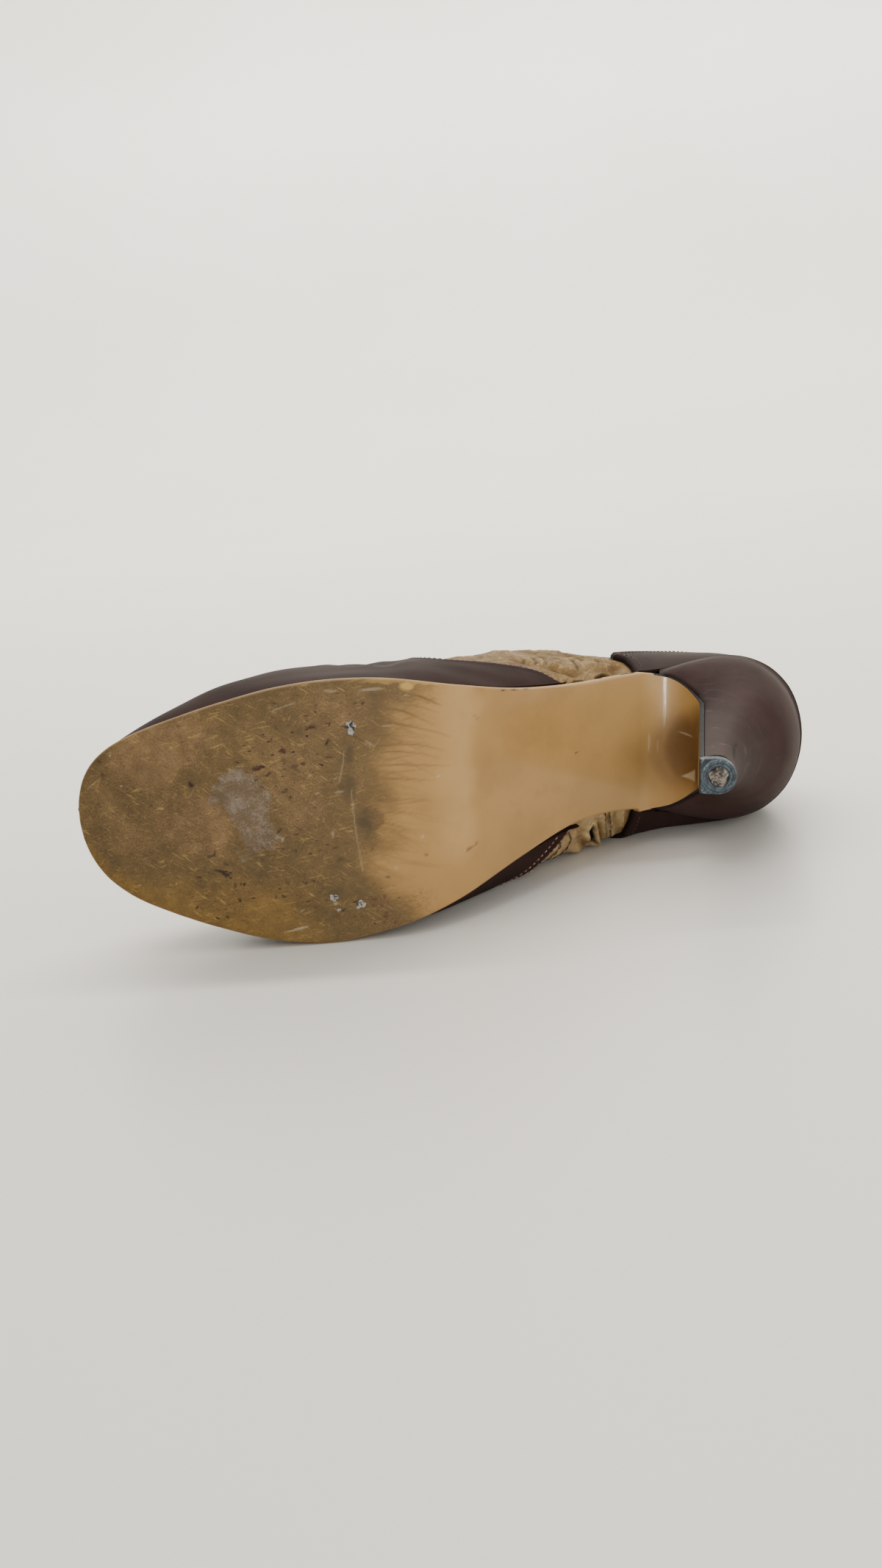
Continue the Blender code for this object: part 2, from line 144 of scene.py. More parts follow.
# Heel sections: share of the flap's length from the fold, length front to back, widest half width.
HEEL_SECTIONS = (
    (0.07, 43.0, 25.0), (0.12, 40.0, 24.2), (0.2, 33.0, 20.6), (0.28, 26.5, 17.0), (0.4, 19.5, 13.2),
    (0.55, 14.2, 10.3), (0.7, 11.0, 8.2), (0.85, 9.0, 6.5), (1.0, 8.0, 5.2),
)

# Upper lines, outer side then inner side. Columns: station at the sole, collar station, collar side,
# collar height, then the leaving and the arriving run as back, out, up.
UPPER_OUTER = (
    (0.0, 105.0, -7.0, 88.0, -18.0, 0.0, 90.0, 70.0, 0.0, 135.0),
    (10.0, 106.0, 2.0, 88.3, -10.0, 18.0, 90.0, 67.0, -8.0, 132.0),
    (35.0, 108.0, 8.5, 89.5, 0.0, 46.0, 84.0, 60.0, -26.0, 112.0),
    (75.0, 114.0, 15.0, 93.0, 6.0, 12.0, 74.0, 48.0, -34.0, 76.0),
    (110.0, 128.0, 24.5, 101.0, 6.0, 25.0, 72.0, 30.0, -14.0, 62.0),
    (140.0, 149.0, 21.0, 113.0, 4.0, 32.0, 66.0, 12.0, -11.5, 58.0),
    (165.0, 168.0, 19.5, 124.0, 2.0, 22.0, 58.0, 0.0, -10.0, 52.0),
    (190.0, 185.0, 13.5, 132.5, 5.0, 9.0, 56.0, -12.0, -7.5, 48.0),
    (205.0, 193.5, 6.0, 137.0, 13.0, 4.0, 54.0, -20.0, -4.0, 48.0),
    (210.0, 196.0, 0.0, 138.0, 18.0, 0.0, 54.0, -22.0, 0.0, 48.0),
)
UPPER_INNER = (
    (0.0, 105.0, 7.0, 88.0, -18.0, 0.0, 90.0, 70.0, 0.0, 135.0),
    (10.0, 106.0, 15.0, 88.3, -10.0, 18.0, 90.0, 67.0, -8.0, 132.0),
    (35.0, 108.0, 20.5, 89.5, 0.0, 22.0, 84.0, 60.0, -26.0, 112.0),
    (75.0, 114.0, 26.0, 93.0, 6.0, 14.0, 74.0, 48.0, -34.0, 76.0),
    (110.0, 128.0, 30.0, 101.0, 6.0, 44.0, 70.0, 30.0, -18.0, 62.0),
    (140.0, 149.0, 30.5, 113.0, 4.0, 86.0, 62.0, 12.0, -14.0, 58.0),
    (165.0, 168.0, 30.5, 124.0, 2.0, 64.0, 58.0, 0.0, -12.0, 52.0),
    (190.0, 185.0, 23.0, 132.5, 5.0, 38.0, 56.0, -12.0, -10.0, 48.0),
    (205.0, 193.5, 11.0, 137.0, 13.0, 13.0, 54.0, -20.0, -5.0, 48.0),
    (210.0, 196.0, 0.0, 138.0, 18.0, 0.0, 54.0, -22.0, 0.0, 48.0),
)

# Vamp top edge on the outer and the inner side: station, share of the way up to the collar.
VAMP_OUTER = (
    (0.0, 0.70), (30.0, 0.655), (60.0, 0.58), (78.0, 0.48), (89.0, 0.36), (97.0, 0.31), (106.7, 0.287),
    (114.6, 0.268), (122.2, 0.224), (128.4, 0.148), (133.2, 0.058), (135.8, 0.012),
)
VAMP_INNER = (
    (0.0, 0.70), (30.0, 0.655), (60.0, 0.58), (90.0, 0.46), (110.0, 0.34), (122.0, 0.25), (131.7, 0.132),
    (134.5, 0.096), (136.7, 0.064), (140.0, 0.014),
)
# Counter top edge: share of the way from its front to the back of the heel, share of the way up.
COUNTER_EDGE = ((0.0, 0.42), (0.12, 0.50), (0.35, 0.61), (0.65, 0.70), (1.0, 0.74))
COUNTER_FRONT = 157.2
# Forward lean of the counter's front edge: share up, run forward.
COUNTER_LEAN = ((0.0, 0.0), (0.022, 0.2), (0.106, 1.6), (0.216, 4.2), (0.307, 8.2), (0.38, 9.6), (1.0, 12.0))
OVERLAY_FOOT = 0.006
# Passes that lift an overlay's foot clear of the sole, points up each of its ends, reach of the finer toe.
FOOT_PASSES = 4
END_POINTS = 23
TOE_REACH = 0.2
# Rows up the sole's edge, as shares of its thickness.
EDGE_DEPTHS = (0.35, 0.6, 0.85, 0.97)
# Row of the flap from which its edge is inked.
INK_FROM_ROW = 8

# Marks on the sole: station, side, half length, half width, turn in degrees, strength.
SOLE_PITS = (
    (59.5, 5.1, 1.2, 0.4, 5, 1.0), (65.3, 1.7, 0.9, 0.4, -5, 1.0), (52.6, 0.2, 1.3, 0.45, 12, 1.0),
    (55.2, -1.8, 1.4, 0.35, 20, 0.9), (60.0, -6.5, 1.1, 0.3, 10, 0.8), (61.6, -7.8, 0.4, 0.4, 0, 0.9),
    (68.6, -10.8, 0.4, 0.35, 0, 0.9), (33.6, -4.8, 0.8, 0.5, -25, 1.0), (39.9, -24.6, 0.3, 1.0, 10, 0.9),
    (39.0, -25.2, 1.0, 0.35, -10, 0.7), (42.0, -29.7, 2.0, 0.3, -22, 1.0), (43.4, -30.6, 0.8, 0.4, -15, 0.9),
    (47.4, -32.8, 0.3, 0.45, 0, 1.0), (48.3, -32.8, 0.3, 0.45, 0, 1.0), (45.6, -33.2, 0.25, 0.9, 5, 0.7),
    (47.1, -37.4, 0.45, 0.6, 20, 1.0), (57.4, -36.5, 0.45, 0.35, 0, 0.9), (59.5, -36.2, 0.6, 0.35, 20, 0.9),
    (66.0, -32.3, 0.4, 0.35, 0, 0.9), (34.5, -40.0, 0.4, 0.35, 0, 1.0), (40.6, -42.8, 0.4, 0.3, 0, 0.9),
    (43.4, -42.8, 0.45, 0.35, 0, 1.0), (67.6, 11.9, 1.6, 0.4, -6, 0.9), (72.0, 7.8, 0.4, 0.9, -10, 1.0),
    (72.9, 12.9, 0.4, 0.6, 0, 0.8), (79.9, 18.6, 0.5, 0.4, 0, 0.7), (82.2, 18.8, 0.5, 0.35, 20, 0.8),
    (60.0, 2.6, 1.1, 0.35, -20, 0.7), (63.0, 1.0, 1.0, 0.3, -15, 0.6), (58.4, -17.6, 0.9, 0.35, 35, 0.8),
    (63.2, -18.2, 0.6, 0.3, -10, 0.7), (54.3, 9.0, 0.6, 0.3, 0, 0.6), (57.0, 18.4, 1.1, 0.3, 0, 0.8),
    (74.6, -22.0, 0.9, 0.3, 10, 0.6), (75.8, -25.4, 0.9, 0.3, 25, 0.5), (84.6, -22.0, 0.4, 0.3, 0, 0.6),
    (89.0, -29.9, 0.5, 0.3, 0, 0.7), (60.6, -32.2, 0.8, 0.3, 10, 0.5), (70.0, -22.6, 0.8, 0.3, 10, 0.5),
    (8.0, -2.9, 0.9, 0.25, -50, 0.8), (6.8, 0.8, 0.9, 0.22, -55, 0.7), (21.9, -10.9, 0.5, 0.2, 15, 0.7),
    (137.4, -0.3, 0.45, 0.35, 0, 0.9), (98.0, -24.0, 0.6, 0.25, -20, 0.6), (76.4, -39.7, 0.5, 0.35, 0, 0.8),
)
SOLE_RUST = (
    (87.9, -35.6, 0.35, 0.8, 5, 0.9), (88.9, -37.0, 0.4, 0.5, 0, 0.9), (87.2, -38.4, 0.4, 0.4, 0, 0.9),
    (88.5, -39.6, 0.5, 0.35, 0, 0.8), (85.2, -36.2, 0.9, 0.4, 30, 0.7), (88.2, -41.4, 0.8, 0.35, 20, 0.8),
    (90.3, -42.9, 0.3, 0.5, 0, 0.9), (84.8, -38.4, 0.7, 0.3, 20, 0.6), (108.6, -23.6, 0.5, 0.7, 0, 0.7),
    (109.9, -22.6, 0.9, 0.3, 50, 0.6), (110.0, 13.8, 1.4, 0.4, -60, 0.35), (59.6, 5.0, 1.0, 0.3, 5, 0.9),
    (52.5, 0.3, 1.0, 0.3, 10, 0.8), (65.4, 1.8, 0.7, 0.3, 0, 0.8),
)
SOLE_SMUDGES = (
    (84.5, -13.6, 3.0, 3.0, 0, 0.95), (82.8, -17.0, 2.6, 3.2, 30, 0.6), (77.8, -4.5, 2.2, 4.2, 0, 0.7),
    (78.4, 4.6, 1.8, 2.6, -20, 0.7), (80.0, 18.2, 3.4, 2.0, 0, 0.55), (86.0, 14.0, 4.0, 8.0, 0, 0.4),
    (84.0, -2.0, 2.6, 5.0, 10, 0.4), (76.0, -24.0, 5.0, 5.0, 0, 0.45), (67.0, 11.2, 4.0, 2.0, -10, 0.45),
    (62.4, 1.6, 3.2, 1.4, -30, 0.55), (40.5, -7.5, 3.4, 4.0, 20, 0.4), (80.6, -33.0, 3.5, 4.5, 20, 0.5),
    (44.0, 2.0, 2.6, 2.0, 40, 0.35), (48.0, -26.0, 6.0, 1.6, 15, 0.35), (30.0, -9.0, 3.0, 2.0, 0, 0.3),
    (22.0, -2.0, 7.0, 3.0, -10, 0.3), (46.0, 13.0, 8.0, 3.0, 15, 0.3), (92.0, 16.0, 5.0, 4.0, 0, 0.25),
    (76.5, -35.0, 5.0, 2.0, 0, 0.5), (94.0, -38.0, 6.0, 3.5, 30, 0.4), (97.0, 19.6, 3.5, 1.2, -15, 0.5),
)
SOLE_PALE = (
    (63.0, -45.6, 3.4, 0.22, 14, 0.9), (64.2, -45.0, 2.0, 0.18, 14, 0.9), (84.5, 22.6, 3.0, 0.4, 6, 0.55),
    (73.2, 22.0, 2.0, 0.4, 0, 0.45), (10.2, 2.7, 0.35, 0.28, 20, 1.0), (13.3, -6.0, 0.4, 0.3, 0, 0.9),
    (59.4, -19.8, 0.5, 0.35, 0, 0.9), (56.9, -43.2, 0.15, 0.6, 0, 0.7), (100.8, -2.0, 0.5, 0.25, 0, 0.8),
    (97.0, -18.6, 0.3, 0.5, 0, 0.7), (90.6, -27.3, 0.6, 0.25, -20, 0.6), (61.6, 18.0, 1.9, 0.22, 18, 0.5),
    (58.4, 16.8, 2.2, 0.2, 20, 0.45), (73.6, -18.0, 0.3, 1.0, 5, 0.6), (64.8, -40.0, 1.0, 0.2, 30, 0.5),
    (74.2, -37.8, 0.6, 0.4, 0, 0.8), (5.0, -5.6, 2.8, 0.16, 40, 0.45), (75.2, -6.0, 1.6, 0.2, 0, 0.5),
    (84.0, 7.6, 1.6, 0.25, -30, 0.5), (88.6, 12.6, 1.2, 0.2, 0, 0.5), (71.0, -14.0, 0.2, 0.8, 0, 0.4),
)
SOLE_YELLOW = (
    (93.2, 23.6, 1.5, 1.3, 10, 1.0), (88.0, 25.0, 6.0, 0.8, 2, 0.5), (97.0, 24.4, 5.0, 0.6, -4, 0.6),
)
SMUDGE_SPREAD = 1.15
# Row of small dots at the waist: first station and side, step, count.
DOT_FROM = (117.0, 20.7)
DOT_STEP = (0.95, -0.05)
DOT_COUNT = 9
# Rear edge of the worn tread: side, station.
WORN_EDGE = (
    (-50.0, 102.0), (-40.0, 96.0), (-34.0, 88.0), (-26.0, 84.0), (-18.0, 87.0), (-8.0, 87.5),
    (2.0, 87.0), (12.0, 89.0), (18.0, 93.0), (23.0, 97.0), (27.0, 97.0),
)
# Grey bloom on the tread, as a loop of station and side.
BLOOM_LOOP = (
    (40.0, -4.0), (43.0, -0.5), (47.5, 1.0), (52.0, -0.6), (54.6, -4.6), (57.2, -7.6),
    (56.6, -12.0), (57.6, -17.0), (59.0, -20.2), (56.0, -23.0), (51.6, -24.6), (47.0, -27.4),
    (48.2, -23.0), (46.6, -18.2), (43.0, -13.4), (38.8, -9.0),
)
# Fine pale cracks across the ball, as runs of station and side.
CRACK_LINES = (
    ((76.9, 5.6), (76.6, 2.0), (76.0, -1.0), (75.4, -3.4)),
    ((78.9, -5.6), (79.2, -10.0), (80.5, -20.0), (82.0, -28.0)),
)
# Long hair lines behind the ball: start and end as station and side, bend of the middle, strength.
HAIR_LINES = (
    (85.0, 13.6, 103.5, 8.8, 1.4, 0.8), (88.0, 17.0, 99.6, 12.8, 1.0, 0.8),
    (86.0, 7.0, 101.8, 5.2, 1.2, 0.9), (87.0, 5.4, 101.0, 3.2, 0.6, 0.7),
    (86.0, 1.4, 103.6, 0.8, 0.3, 0.7), (85.0, -2.6, 100.0, -3.2, 0.5, 0.7),
    (86.0, -8.2, 99.0, -8.4, 0.6, 0.6), (87.0, -11.0, 98.4, -13.0, 0.4, 0.6),
    (87.0, -14.2, 96.0, -19.0, 0.8, 0.6), (94.0, 20.8, 101.6, 18.0, 0.3, 0.9),
    (84.0, 10.4, 97.0, 9.0, 0.4, 0.6), (88.0, 10.2, 98.0, 4.4, 0.2, 0.5),
    (89.0, 14.8, 96.0, 9.4, 0.1, 0.45), (90.0, -17.6, 98.0, -23.0, 0.5, 0.4),
    (92.0, 3.0, 100.0, -1.8, 0.2, 0.4),
)
SHORT_HAIRS = 90
# Worn metal heads in the sole: station, side, half length, half width, turn in degrees.
SOLE_NAILS = (
    (78.8, 11.9, 1.35, 2.1, 8), (73.8, -36.1, 1.3, 0.95, 10), (75.2, -39.6, 0.6, 0.45, 20),
    (81.4, -37.9, 1.4, 1.1, 12),
)
# Worn nail head: share of its half width, depth into the sole.
NAIL_HEAD = ((1.0, 0.7), (1.0, 0.0), (0.92, -0.12), (0.75, -0.2), (0.55, -0.14), (0.3, -0.24), (0.02, -0.16))
NAIL_POINTS = 40
# Painted shade and dark reflection in the fold of the breast, also carried onto the shank: run from the fold,
# side, half length, half width, turn in degrees, strength.
FLAP_PAINTED_SHADE = (
    (14.5, -2.0, 8.0, 11.0, 0, 0.75), (24.0, -1.0, 11.0, 13.0, 0, 0.75), (60.0, 0.0, 40.0, 14.0, 0, 0.4),
    (12.0, -3.0, 10.5, 11.5, 0, 0.5), (8.0, -4.5, 11.5, 10.5, 0, 0.28), (4.0, -6.0, 13.0, 9.5, 0, 0.12),
)
# Scratches of the breast, with the same columns.
FLAP_SCRATCHES = (
    (2.6, 0.0, 0.35, 2.6, 0, 0.8), (14.8, 2.9, 2.8, 0.3, -12, 0.8), (5.4, -1.0, 0.3, 2.0, 4, 0.3),
)
# Torn chip of the breast, as a loop of run and side.
FLAP_CHIP = ((13.4, -10.4), (19.6, -7.6), (19.8, -11.4))
# Dark nicks of the heel: run round it, height, half length, half width, turn in degrees, strength.
# The run is measured on a circle about an upright axis at a station.
NICK_AXIS = 178.0
NICK_RADIUS = 20.0
HEEL_NICKS = ((10.5, 17.9, 6.0, 2.0, 62, 1.0), (12.0, 25.0, 1.2, 2.0, 0, 0.9))
# Centre of the fine scratches round the heel's tip: run back from the tip's front, side.
SCRATCH_CENTRE = (6.0, 1.0)
# Warmer leather of the tread: station, side, half length, half width, turn in degrees, strength.
WARM_ZONES = (
    (24.0, 4.0, 16.0, 9.0, 25, 0.8), (34.0, -16.0, 12.0, 9.0, -20, 0.8), (64.0, -6.0, 8.0, 12.0, 0, 0.5),
    (16.0, -14.0, 10.0, 14.0, 0, 0.4), (70.0, 14.0, 10.0, 8.0, 0, 0.4),
)
# Small dark nicks thickest here: station, side, half length, half width, turn in degrees, strength.
NICK_ZONES = (
    (60.0, 4.0, 14.0, 12.0, 0, 1.0), (68.0, 14.0, 12.0, 8.0, 0, 0.8), (62.0, -20.0, 14.0, 8.0, 0, 0.7),
    (54.0, -33.0, 22.0, 8.0, 0, 0.9), (86.0, -38.0, 8.0, 6.0, 0, 1.0), (78.0, -22.0, 8.0, 8.0, 0, 0.5),
)
# Worn places of the insole, with the same columns.
INSOLE_WORN = ((70.0, -12.0, 26.0, 22.0, 0, 0.7), (186.0, 0.0, 16.0, 14.0, 0, 0.8))

# Folds of the tan leather. Columns: side (1 outer, -1 inner), station and share up where each starts,
# the same where it ends, bend of its middle in shares, depth (a ridge is below zero) and half width.
FOLDS = (
    (1, 114.0, 0.42, 139.0, 0.12, 0.03, 0.6, 2.4), (1, 131.1, 0.244, 141.5, 0.172, -0.06, 0.8, 1.6),
    (1, 142.0, 0.32, 152.0, 0.12, 0.02, 0.7, 2.2), (1, 150.0, 0.04, 151.0, 0.22, 0.0, 0.7, 1.6),
    (1, 144.0, 0.40, 155.0, 0.33, 0.03, 0.6, 2.4), (1, 108.0, 0.70, 127.0, 0.55, 0.03, -0.5, 2.2),
    (1, 128.0, 0.56, 150.0, 0.50, -0.03, 0.9, 2.6), (1, 126.0, 0.70, 166.0, 0.62, -0.04, 1.2, 3.4),
    (1, 118.0, 0.82, 176.0, 0.78, 0.04, 1.1, 3.6), (1, 122.0, 0.92, 170.0, 0.88, -0.03, -0.7, 3.0),
    (1, 143.0, 0.62, 150.0, 0.92, 0.0, 0.6, 2.8), (1, 160.0, 0.66, 170.0, 0.92, 0.0, 0.6, 2.8),
    (-1, 140.4, 0.05, 142.6, 0.25, 0.01, 1.0, 1.4), (-1, 146.7, 0.05, 147.0, 0.25, 0.0, 1.1, 1.2),
    (-1, 145.9, 0.08, 145.7, 0.24, 0.0, -1.0, 0.9), (-1, 137.8, 0.12, 143.4, 0.20, 0.02, 0.6, 1.3),
    (-1, 138.0, 0.20, 143.8, 0.23, 0.01, 0.5, 1.1), (-1, 149.4, 0.03, 149.6, 0.22, 0.0, 0.7, 0.9),
    (-1, 151.8, 0.03, 152.6, 0.20, 0.01, 0.8, 1.3), (-1, 141.6, 0.10, 144.0, 0.13, 0.0, 0.5, 0.9),
    (-1, 126.0, 0.62, 168.0, 0.56, -0.04, 1.0, 3.6), (-1, 120.0, 0.78, 174.0, 0.76, 0.05, 1.1, 3.8),
    (-1, 124.0, 0.90, 168.0, 0.86, -0.03, -0.7, 3.2), (-1, 144.0, 0.62, 152.0, 0.92, 0.0, 0.6, 2.8),
    (1, 60.0, 0.80, 100.0, 0.82, 0.02, 0.8, 3.0), (-1, 60.0, 0.82, 100.0, 0.80, 0.02, 0.8, 3.0),
    (1, 20.0, 0.88, 70.0, 0.90, 0.01, 0.7, 2.8), (-1, 20.0, 0.89, 70.0, 0.90, -0.01, 0.7, 2.8),
)
# Farthest that a fold is felt.
FOLD_REACH = 30.0
# Soft swellings: side, station, share up, radius, height.
LUMPS = (
    (1, 97.0, 0.46, 3.2, 0.7), (1, 107.0, 0.60, 5.0, 0.9), (1, 125.0, 0.64, 6.0, 1.1),
    (1, 137.0, 0.63, 4.5, -0.9), (1, 131.0, 0.30, 5.0, 0.6), (1, 141.0, 0.26, 4.0, 0.6),
    (1, 147.0, 0.16, 4.0, 0.7), (-1, 141.0, 0.24, 4.0, 1.2), (-1, 145.6, 0.25, 2.6, 0.8),
    (-1, 148.2, 0.14, 2.4, 0.7), (-1, 154.0, 0.10, 3.0, 0.6), (1, 150.0, 0.70, 9.0, 0.8),
    (-1, 150.0, 0.72, 9.0, 0.8), (1, 128.0, 0.78, 8.0, 0.7), (-1, 130.0, 0.78, 8.0, 0.7),
)
# Tooled strokes, with the same columns as the folds.
GROOVES = (
    (1, 121.6, 0.471, 125.1, 0.325, 0.012, 0.5, 0.75), (1, 122.5, 0.515, 128.8, 0.287, 0.02, 0.65, 0.8),
    (1, 130.5, 0.353, 133.1, 0.265, 0.01, 0.5, 0.9), (1, 134.8, 0.395, 139.3, 0.17, 0.015, 0.65, 0.8),
    (1, 135.6, 0.421, 139.3, 0.307, 0.02, 0.5, 0.75), (1, 117.6, 0.47, 121.0, 0.36, 0.012, 0.4, 0.7),
    (1, 128.0, 0.46, 132.6, 0.36, 0.02, 0.4, 0.7), (1, 141.6, 0.40, 145.4, 0.26, 0.015, 0.4, 0.7),
    (1, 146.4, 0.38, 149.0, 0.27, 0.012, 0.35, 0.7), (1, 124.0, 0.70, 131.0, 0.57, 0.02, 0.4, 0.8),
    (1, 132.0, 0.66, 138.0, 0.53, 0.02, 0.4, 0.8), (1, 140.0, 0.63, 146.0, 0.50, 0.02, 0.4, 0.8),
    (1, 148.0, 0.62, 153.0, 0.50, 0.02, 0.4, 0.8), (1, 118.0, 0.74, 124.0, 0.62, 0.02, 0.4, 0.8),
    (-1, 124.0, 0.52, 129.0, 0.38, 0.02, 0.4, 0.8), (-1, 130.0, 0.48, 135.0, 0.34, 0.02, 0.4, 0.8),
    (-1, 136.0, 0.46, 141.0, 0.33, 0.02, 0.4, 0.8), (-1, 143.0, 0.46, 147.0, 0.34, 0.02, 0.4, 0.8),
    (-1, 124.0, 0.70, 131.0, 0.58, 0.02, 0.4, 0.8), (-1, 133.0, 0.66, 139.0, 0.54, 0.02, 0.4, 0.8),
    (-1, 141.0, 0.64, 147.0, 0.52, 0.02, 0.4, 0.8),
)
# Tears, painted black inside as the shade within them: side, station and share up at start and end, bend,
# half width.
TEARS = (
    (-1, 144.8, 0.105, 144.1, 0.215, 0.0, 0.9), (1, 138.6, 0.046, 141.6, 0.036, 0.004, 0.35),
    (1, 145.2, 0.050, 148.6, 0.046, 0.022, 0.5),
)
# Dark seams of the inner side, as lines of station and share up.
DARK_SEAMS = (
    ((137.6, 0.045), (138.4, 0.126), (136.7, 0.19), (133.6, 0.25), (128.0, 0.33), (120.0, 0.41)),
    ((135.6, 0.10), (135.3, 0.148), (133.0, 0.20), (127.0, 0.29), (119.0, 0.375)),
    ((150.1, 0.02), (150.2, 0.13), (149.6, 0.24), (148.0, 0.38), (148.6, 0.48)),
    ((148.8, 0.03), (148.7, 0.106), (148.2, 0.24), (146.6, 0.38), (147.2, 0.48)),
)
# Flex creases of the vamp: side, station and share up at start and end, bend, depth, half width.
VAMP_CREASES = (
    (1, 62.0, 0.30, 52.0, 0.60, 0.0, 0.7, 3.2), (1, 72.0, 0.24, 64.0, 0.58, 0.0, 0.9, 3.0),
    (1, 82.0, 0.20, 76.0, 0.52, 0.0, 0.8, 3.0), (-1, 64.0, 0.30, 54.0, 0.60, 0.0, 0.6, 3.2),
    (-1, 75.0, 0.26, 66.0, 0.58, 0.0, 0.7, 3.0),
)

# Tones of the worn tread from dark to light, as screen colours, and their places on the scale.
TONE_STOPS = (0.38, 0.47, 0.53, 0.62)
OLIVE_TREAD = ((70, 54, 26), (85, 66, 34), (95, 74, 39), (111, 87, 49))
PINK_TREAD = ((88, 66, 38), (105, 80, 48), (115, 89, 55), (131, 103, 66))
GOLD_TREAD = ((86, 63, 23), (103, 77, 30), (114, 86, 36), (130, 100, 44))
# Directions of the scuffs on the tread, in degrees.
SCUFF_TURNS = (14.0, -30.0, 62.0)

# Floor that bends up into a backdrop, in metres.
FLOOR_HALF = 4.0
BEND_FROM = 1.4
BEND_RADIUS = 0.9
BACKDROP_TOP = 3.2
# Soft lights, in metres: name, place, aim, width, height, spread in degrees.
LIGHTS = (
    ("key_light", (-0.25, 0.1, 1.2), (0.0, 0.0, 0.04), 1.2, 1.0, 180.0),
    ("fill_light", (0.85, -0.8, 0.4), (0.0, 0.0, 0.04), 1.0, 0.7, 180.0),
    ("front_light", (0.12, -0.95, 0.112), (0.06, 0.0, 0.09), 0.18, 0.17, 24.0),
    ("wall_light", (0.0, 1.0, 2.2), (0.0, 2.3, 0.9), 3.0, 0.6, 180.0),
)
LIGHT_TINT = (1.0, 0.99, 0.975)
SKY_TINT = (0.97, 0.985, 1.0, 1.0)


def srgb(red, green, blue):
    """Linear colour for a screen colour of 0 to 255 a channel."""
    return tuple(((value / 255.0 + 0.055) / 1.055) ** 2.4 for value in (red, green, blue))


def hermite(t, start, leave, end, arrive):
    """Cubic from a start to an end, with the runs at which it leaves and arrives."""
    return (
        (2 * t**3 - 3 * t**2 + 1) * start
        + (t**3 - 2 * t**2 + t) * leave
        + (3 * t**2 - 2 * t**3) * end
        + (t**3 - t**2) * arrive
    )


def curve(table, column, at):
    """Smooth curve through one column of a table whose first column is the position."""
    rows = np.array(table, float)
    x = rows[:, 0]
    y = rows[:, column]
    slope = np.gradient(y, x)
    i = np.clip(np.searchsorted(x, at) - 1, 0, len(x) - 2)
    step = x[i + 1] - x[i]
    t = np.clip((at - x[i]) / step, 0.0, 1.0)
    return hermite(t, y[i], step * slope[i], y[i + 1], step * slope[i + 1])


def share_of(station):
    """Share of the way from toe to heel that spreads the round ends."""
    return np.arccos(1.0 - 2.0 * np.asarray(station, float) / SHOE_LENGTH) / math.pi


def station_of(share):
    return SHOE_LENGTH * 0.5 * (1.0 - np.cos(math.pi * np.asarray(share, float)))


def place_of(side, station):
    """Place round the shoe of a station on the outer (1) or inner (-1) side."""
    share = share_of(station)
    return share if side > 0 else 2.0 - share


def around(outer_rows, inner_rows, column):
    """Table round the shoe: toe 0, heel 1, and back to the toe at 2, with a turn added at each end."""
    ring = [(float(share_of(row[0])), row[column]) for row in outer_rows]
    ring += [(2.0 - float(share_of(row[0])), row[column]) for row in reversed(inner_rows[1:-1])]
    before = [(place - 2.0, value) for place, value in ring[-4:]]
    after = [(place + 2.0, value) for place, value in ring[:4]]
    return before + ring + after


def profile(station):
    """Height of the line where the upper meets the sole."""
    toe = TOE_SPRING * (np.maximum(FLAT_FROM - station, 0.0) / FLAT_FROM) ** 2
    t = np.clip((station - SHANK_FROM) / (SEAT_FROM - SHANK_FROM), 0.0, 1.0)
    shank = SEAT_RISE * ((3.0 - SEAT_SLOPE) * t**2 + (SEAT_SLOPE - 2.0) * t**3)
    past = np.maximum(station - SEAT_FROM, 0.0)
    seat = SEAT_SLOPE * SEAT_RISE / (SEAT_FROM - SHANK_FROM) * past - SEAT_FLATTEN * past**2
    return toe + shank + seat + SOLE_THICK + GAP


def profile_angle(station):
    return np.arctan2(profile(station + 0.05) - profile(station - 0.05), 0.1)


def on_last(station, side, height):
    """Point at a station and side, raised square to the bottom line of the shoe."""
    angle = profile_angle(station)
    return np.stack(
        [-(station - np.sin(angle) * height), side, profile(station) + np.cos(angle) * height], axis=-1
    )


OUTLINE_RING = around([row[:2] for row in OUTLINE], [(row[0], row[2]) for row in OUTLINE], 1)


def outline(place, inset=0.0):
    """Station and side on the outline at a place round the shoe, moved in by an inset."""
    share = np.where(np.mod(place, 2.0) <= 1.0, np.mod(place, 2.0), 2.0 - np.mod(place, 2.0))
    station = station_of(share)
    side = curve(OUTLINE_RING, 1, np.mod(place, 2.0))
    if inset == 0.0:
        return station, side
    ahead = outline(place + 0.002)
    behind = outline(place - 0.002)
    along = np.stack([ahead[0] - behind[0], ahead[1] - behind[1]])
    along /= np.linalg.norm(along, axis=0)
    return station + along[1] * inset, side - along[0] * inset


RUN_COLUMNS = ("collar_u", "collar_y", "collar_z", "back_0", "out_0", "up_0", "back_1", "out_1", "up_1")
SIDED = ("collar_y", "out_0", "out_1")


def upper_tables():
    tables = {}
    for number, name in enumerate(RUN_COLUMNS, start=1):
        inner = UPPER_INNER
        if name in SIDED:
            inner = [row[:number] + (-row[number],) + row[number + 1:] for row in UPPER_INNER]
        tables[name] = around(UPPER_OUTER, inner, number)
    return tables


UPPER_TABLES = upper_tables()


def over_floor(points):
    """Height over the floor, before the lift, of points in the standing shoe's axes."""
    leaned = points[..., 2] * math.sin(LIE_LEAN) + points[..., 1] * math.cos(LIE_LEAN)
    return points[..., 0] * math.sin(LIE_DROP) + leaned * math.cos(LIE_DROP)


def sole_edge_height():
    """Lowest point of the sole's inner edge over the floor, before the lift."""
    place = np.linspace(1.3, 2.0, 400)
    station, side = outline(place)
    edges = [on_last(station, side, np.full_like(station, depth)) for depth in (-SOLE_THICK - GAP, -GAP)]
    return float(over_floor(np.array(edges)).min())


FLOOR = sole_edge_height()


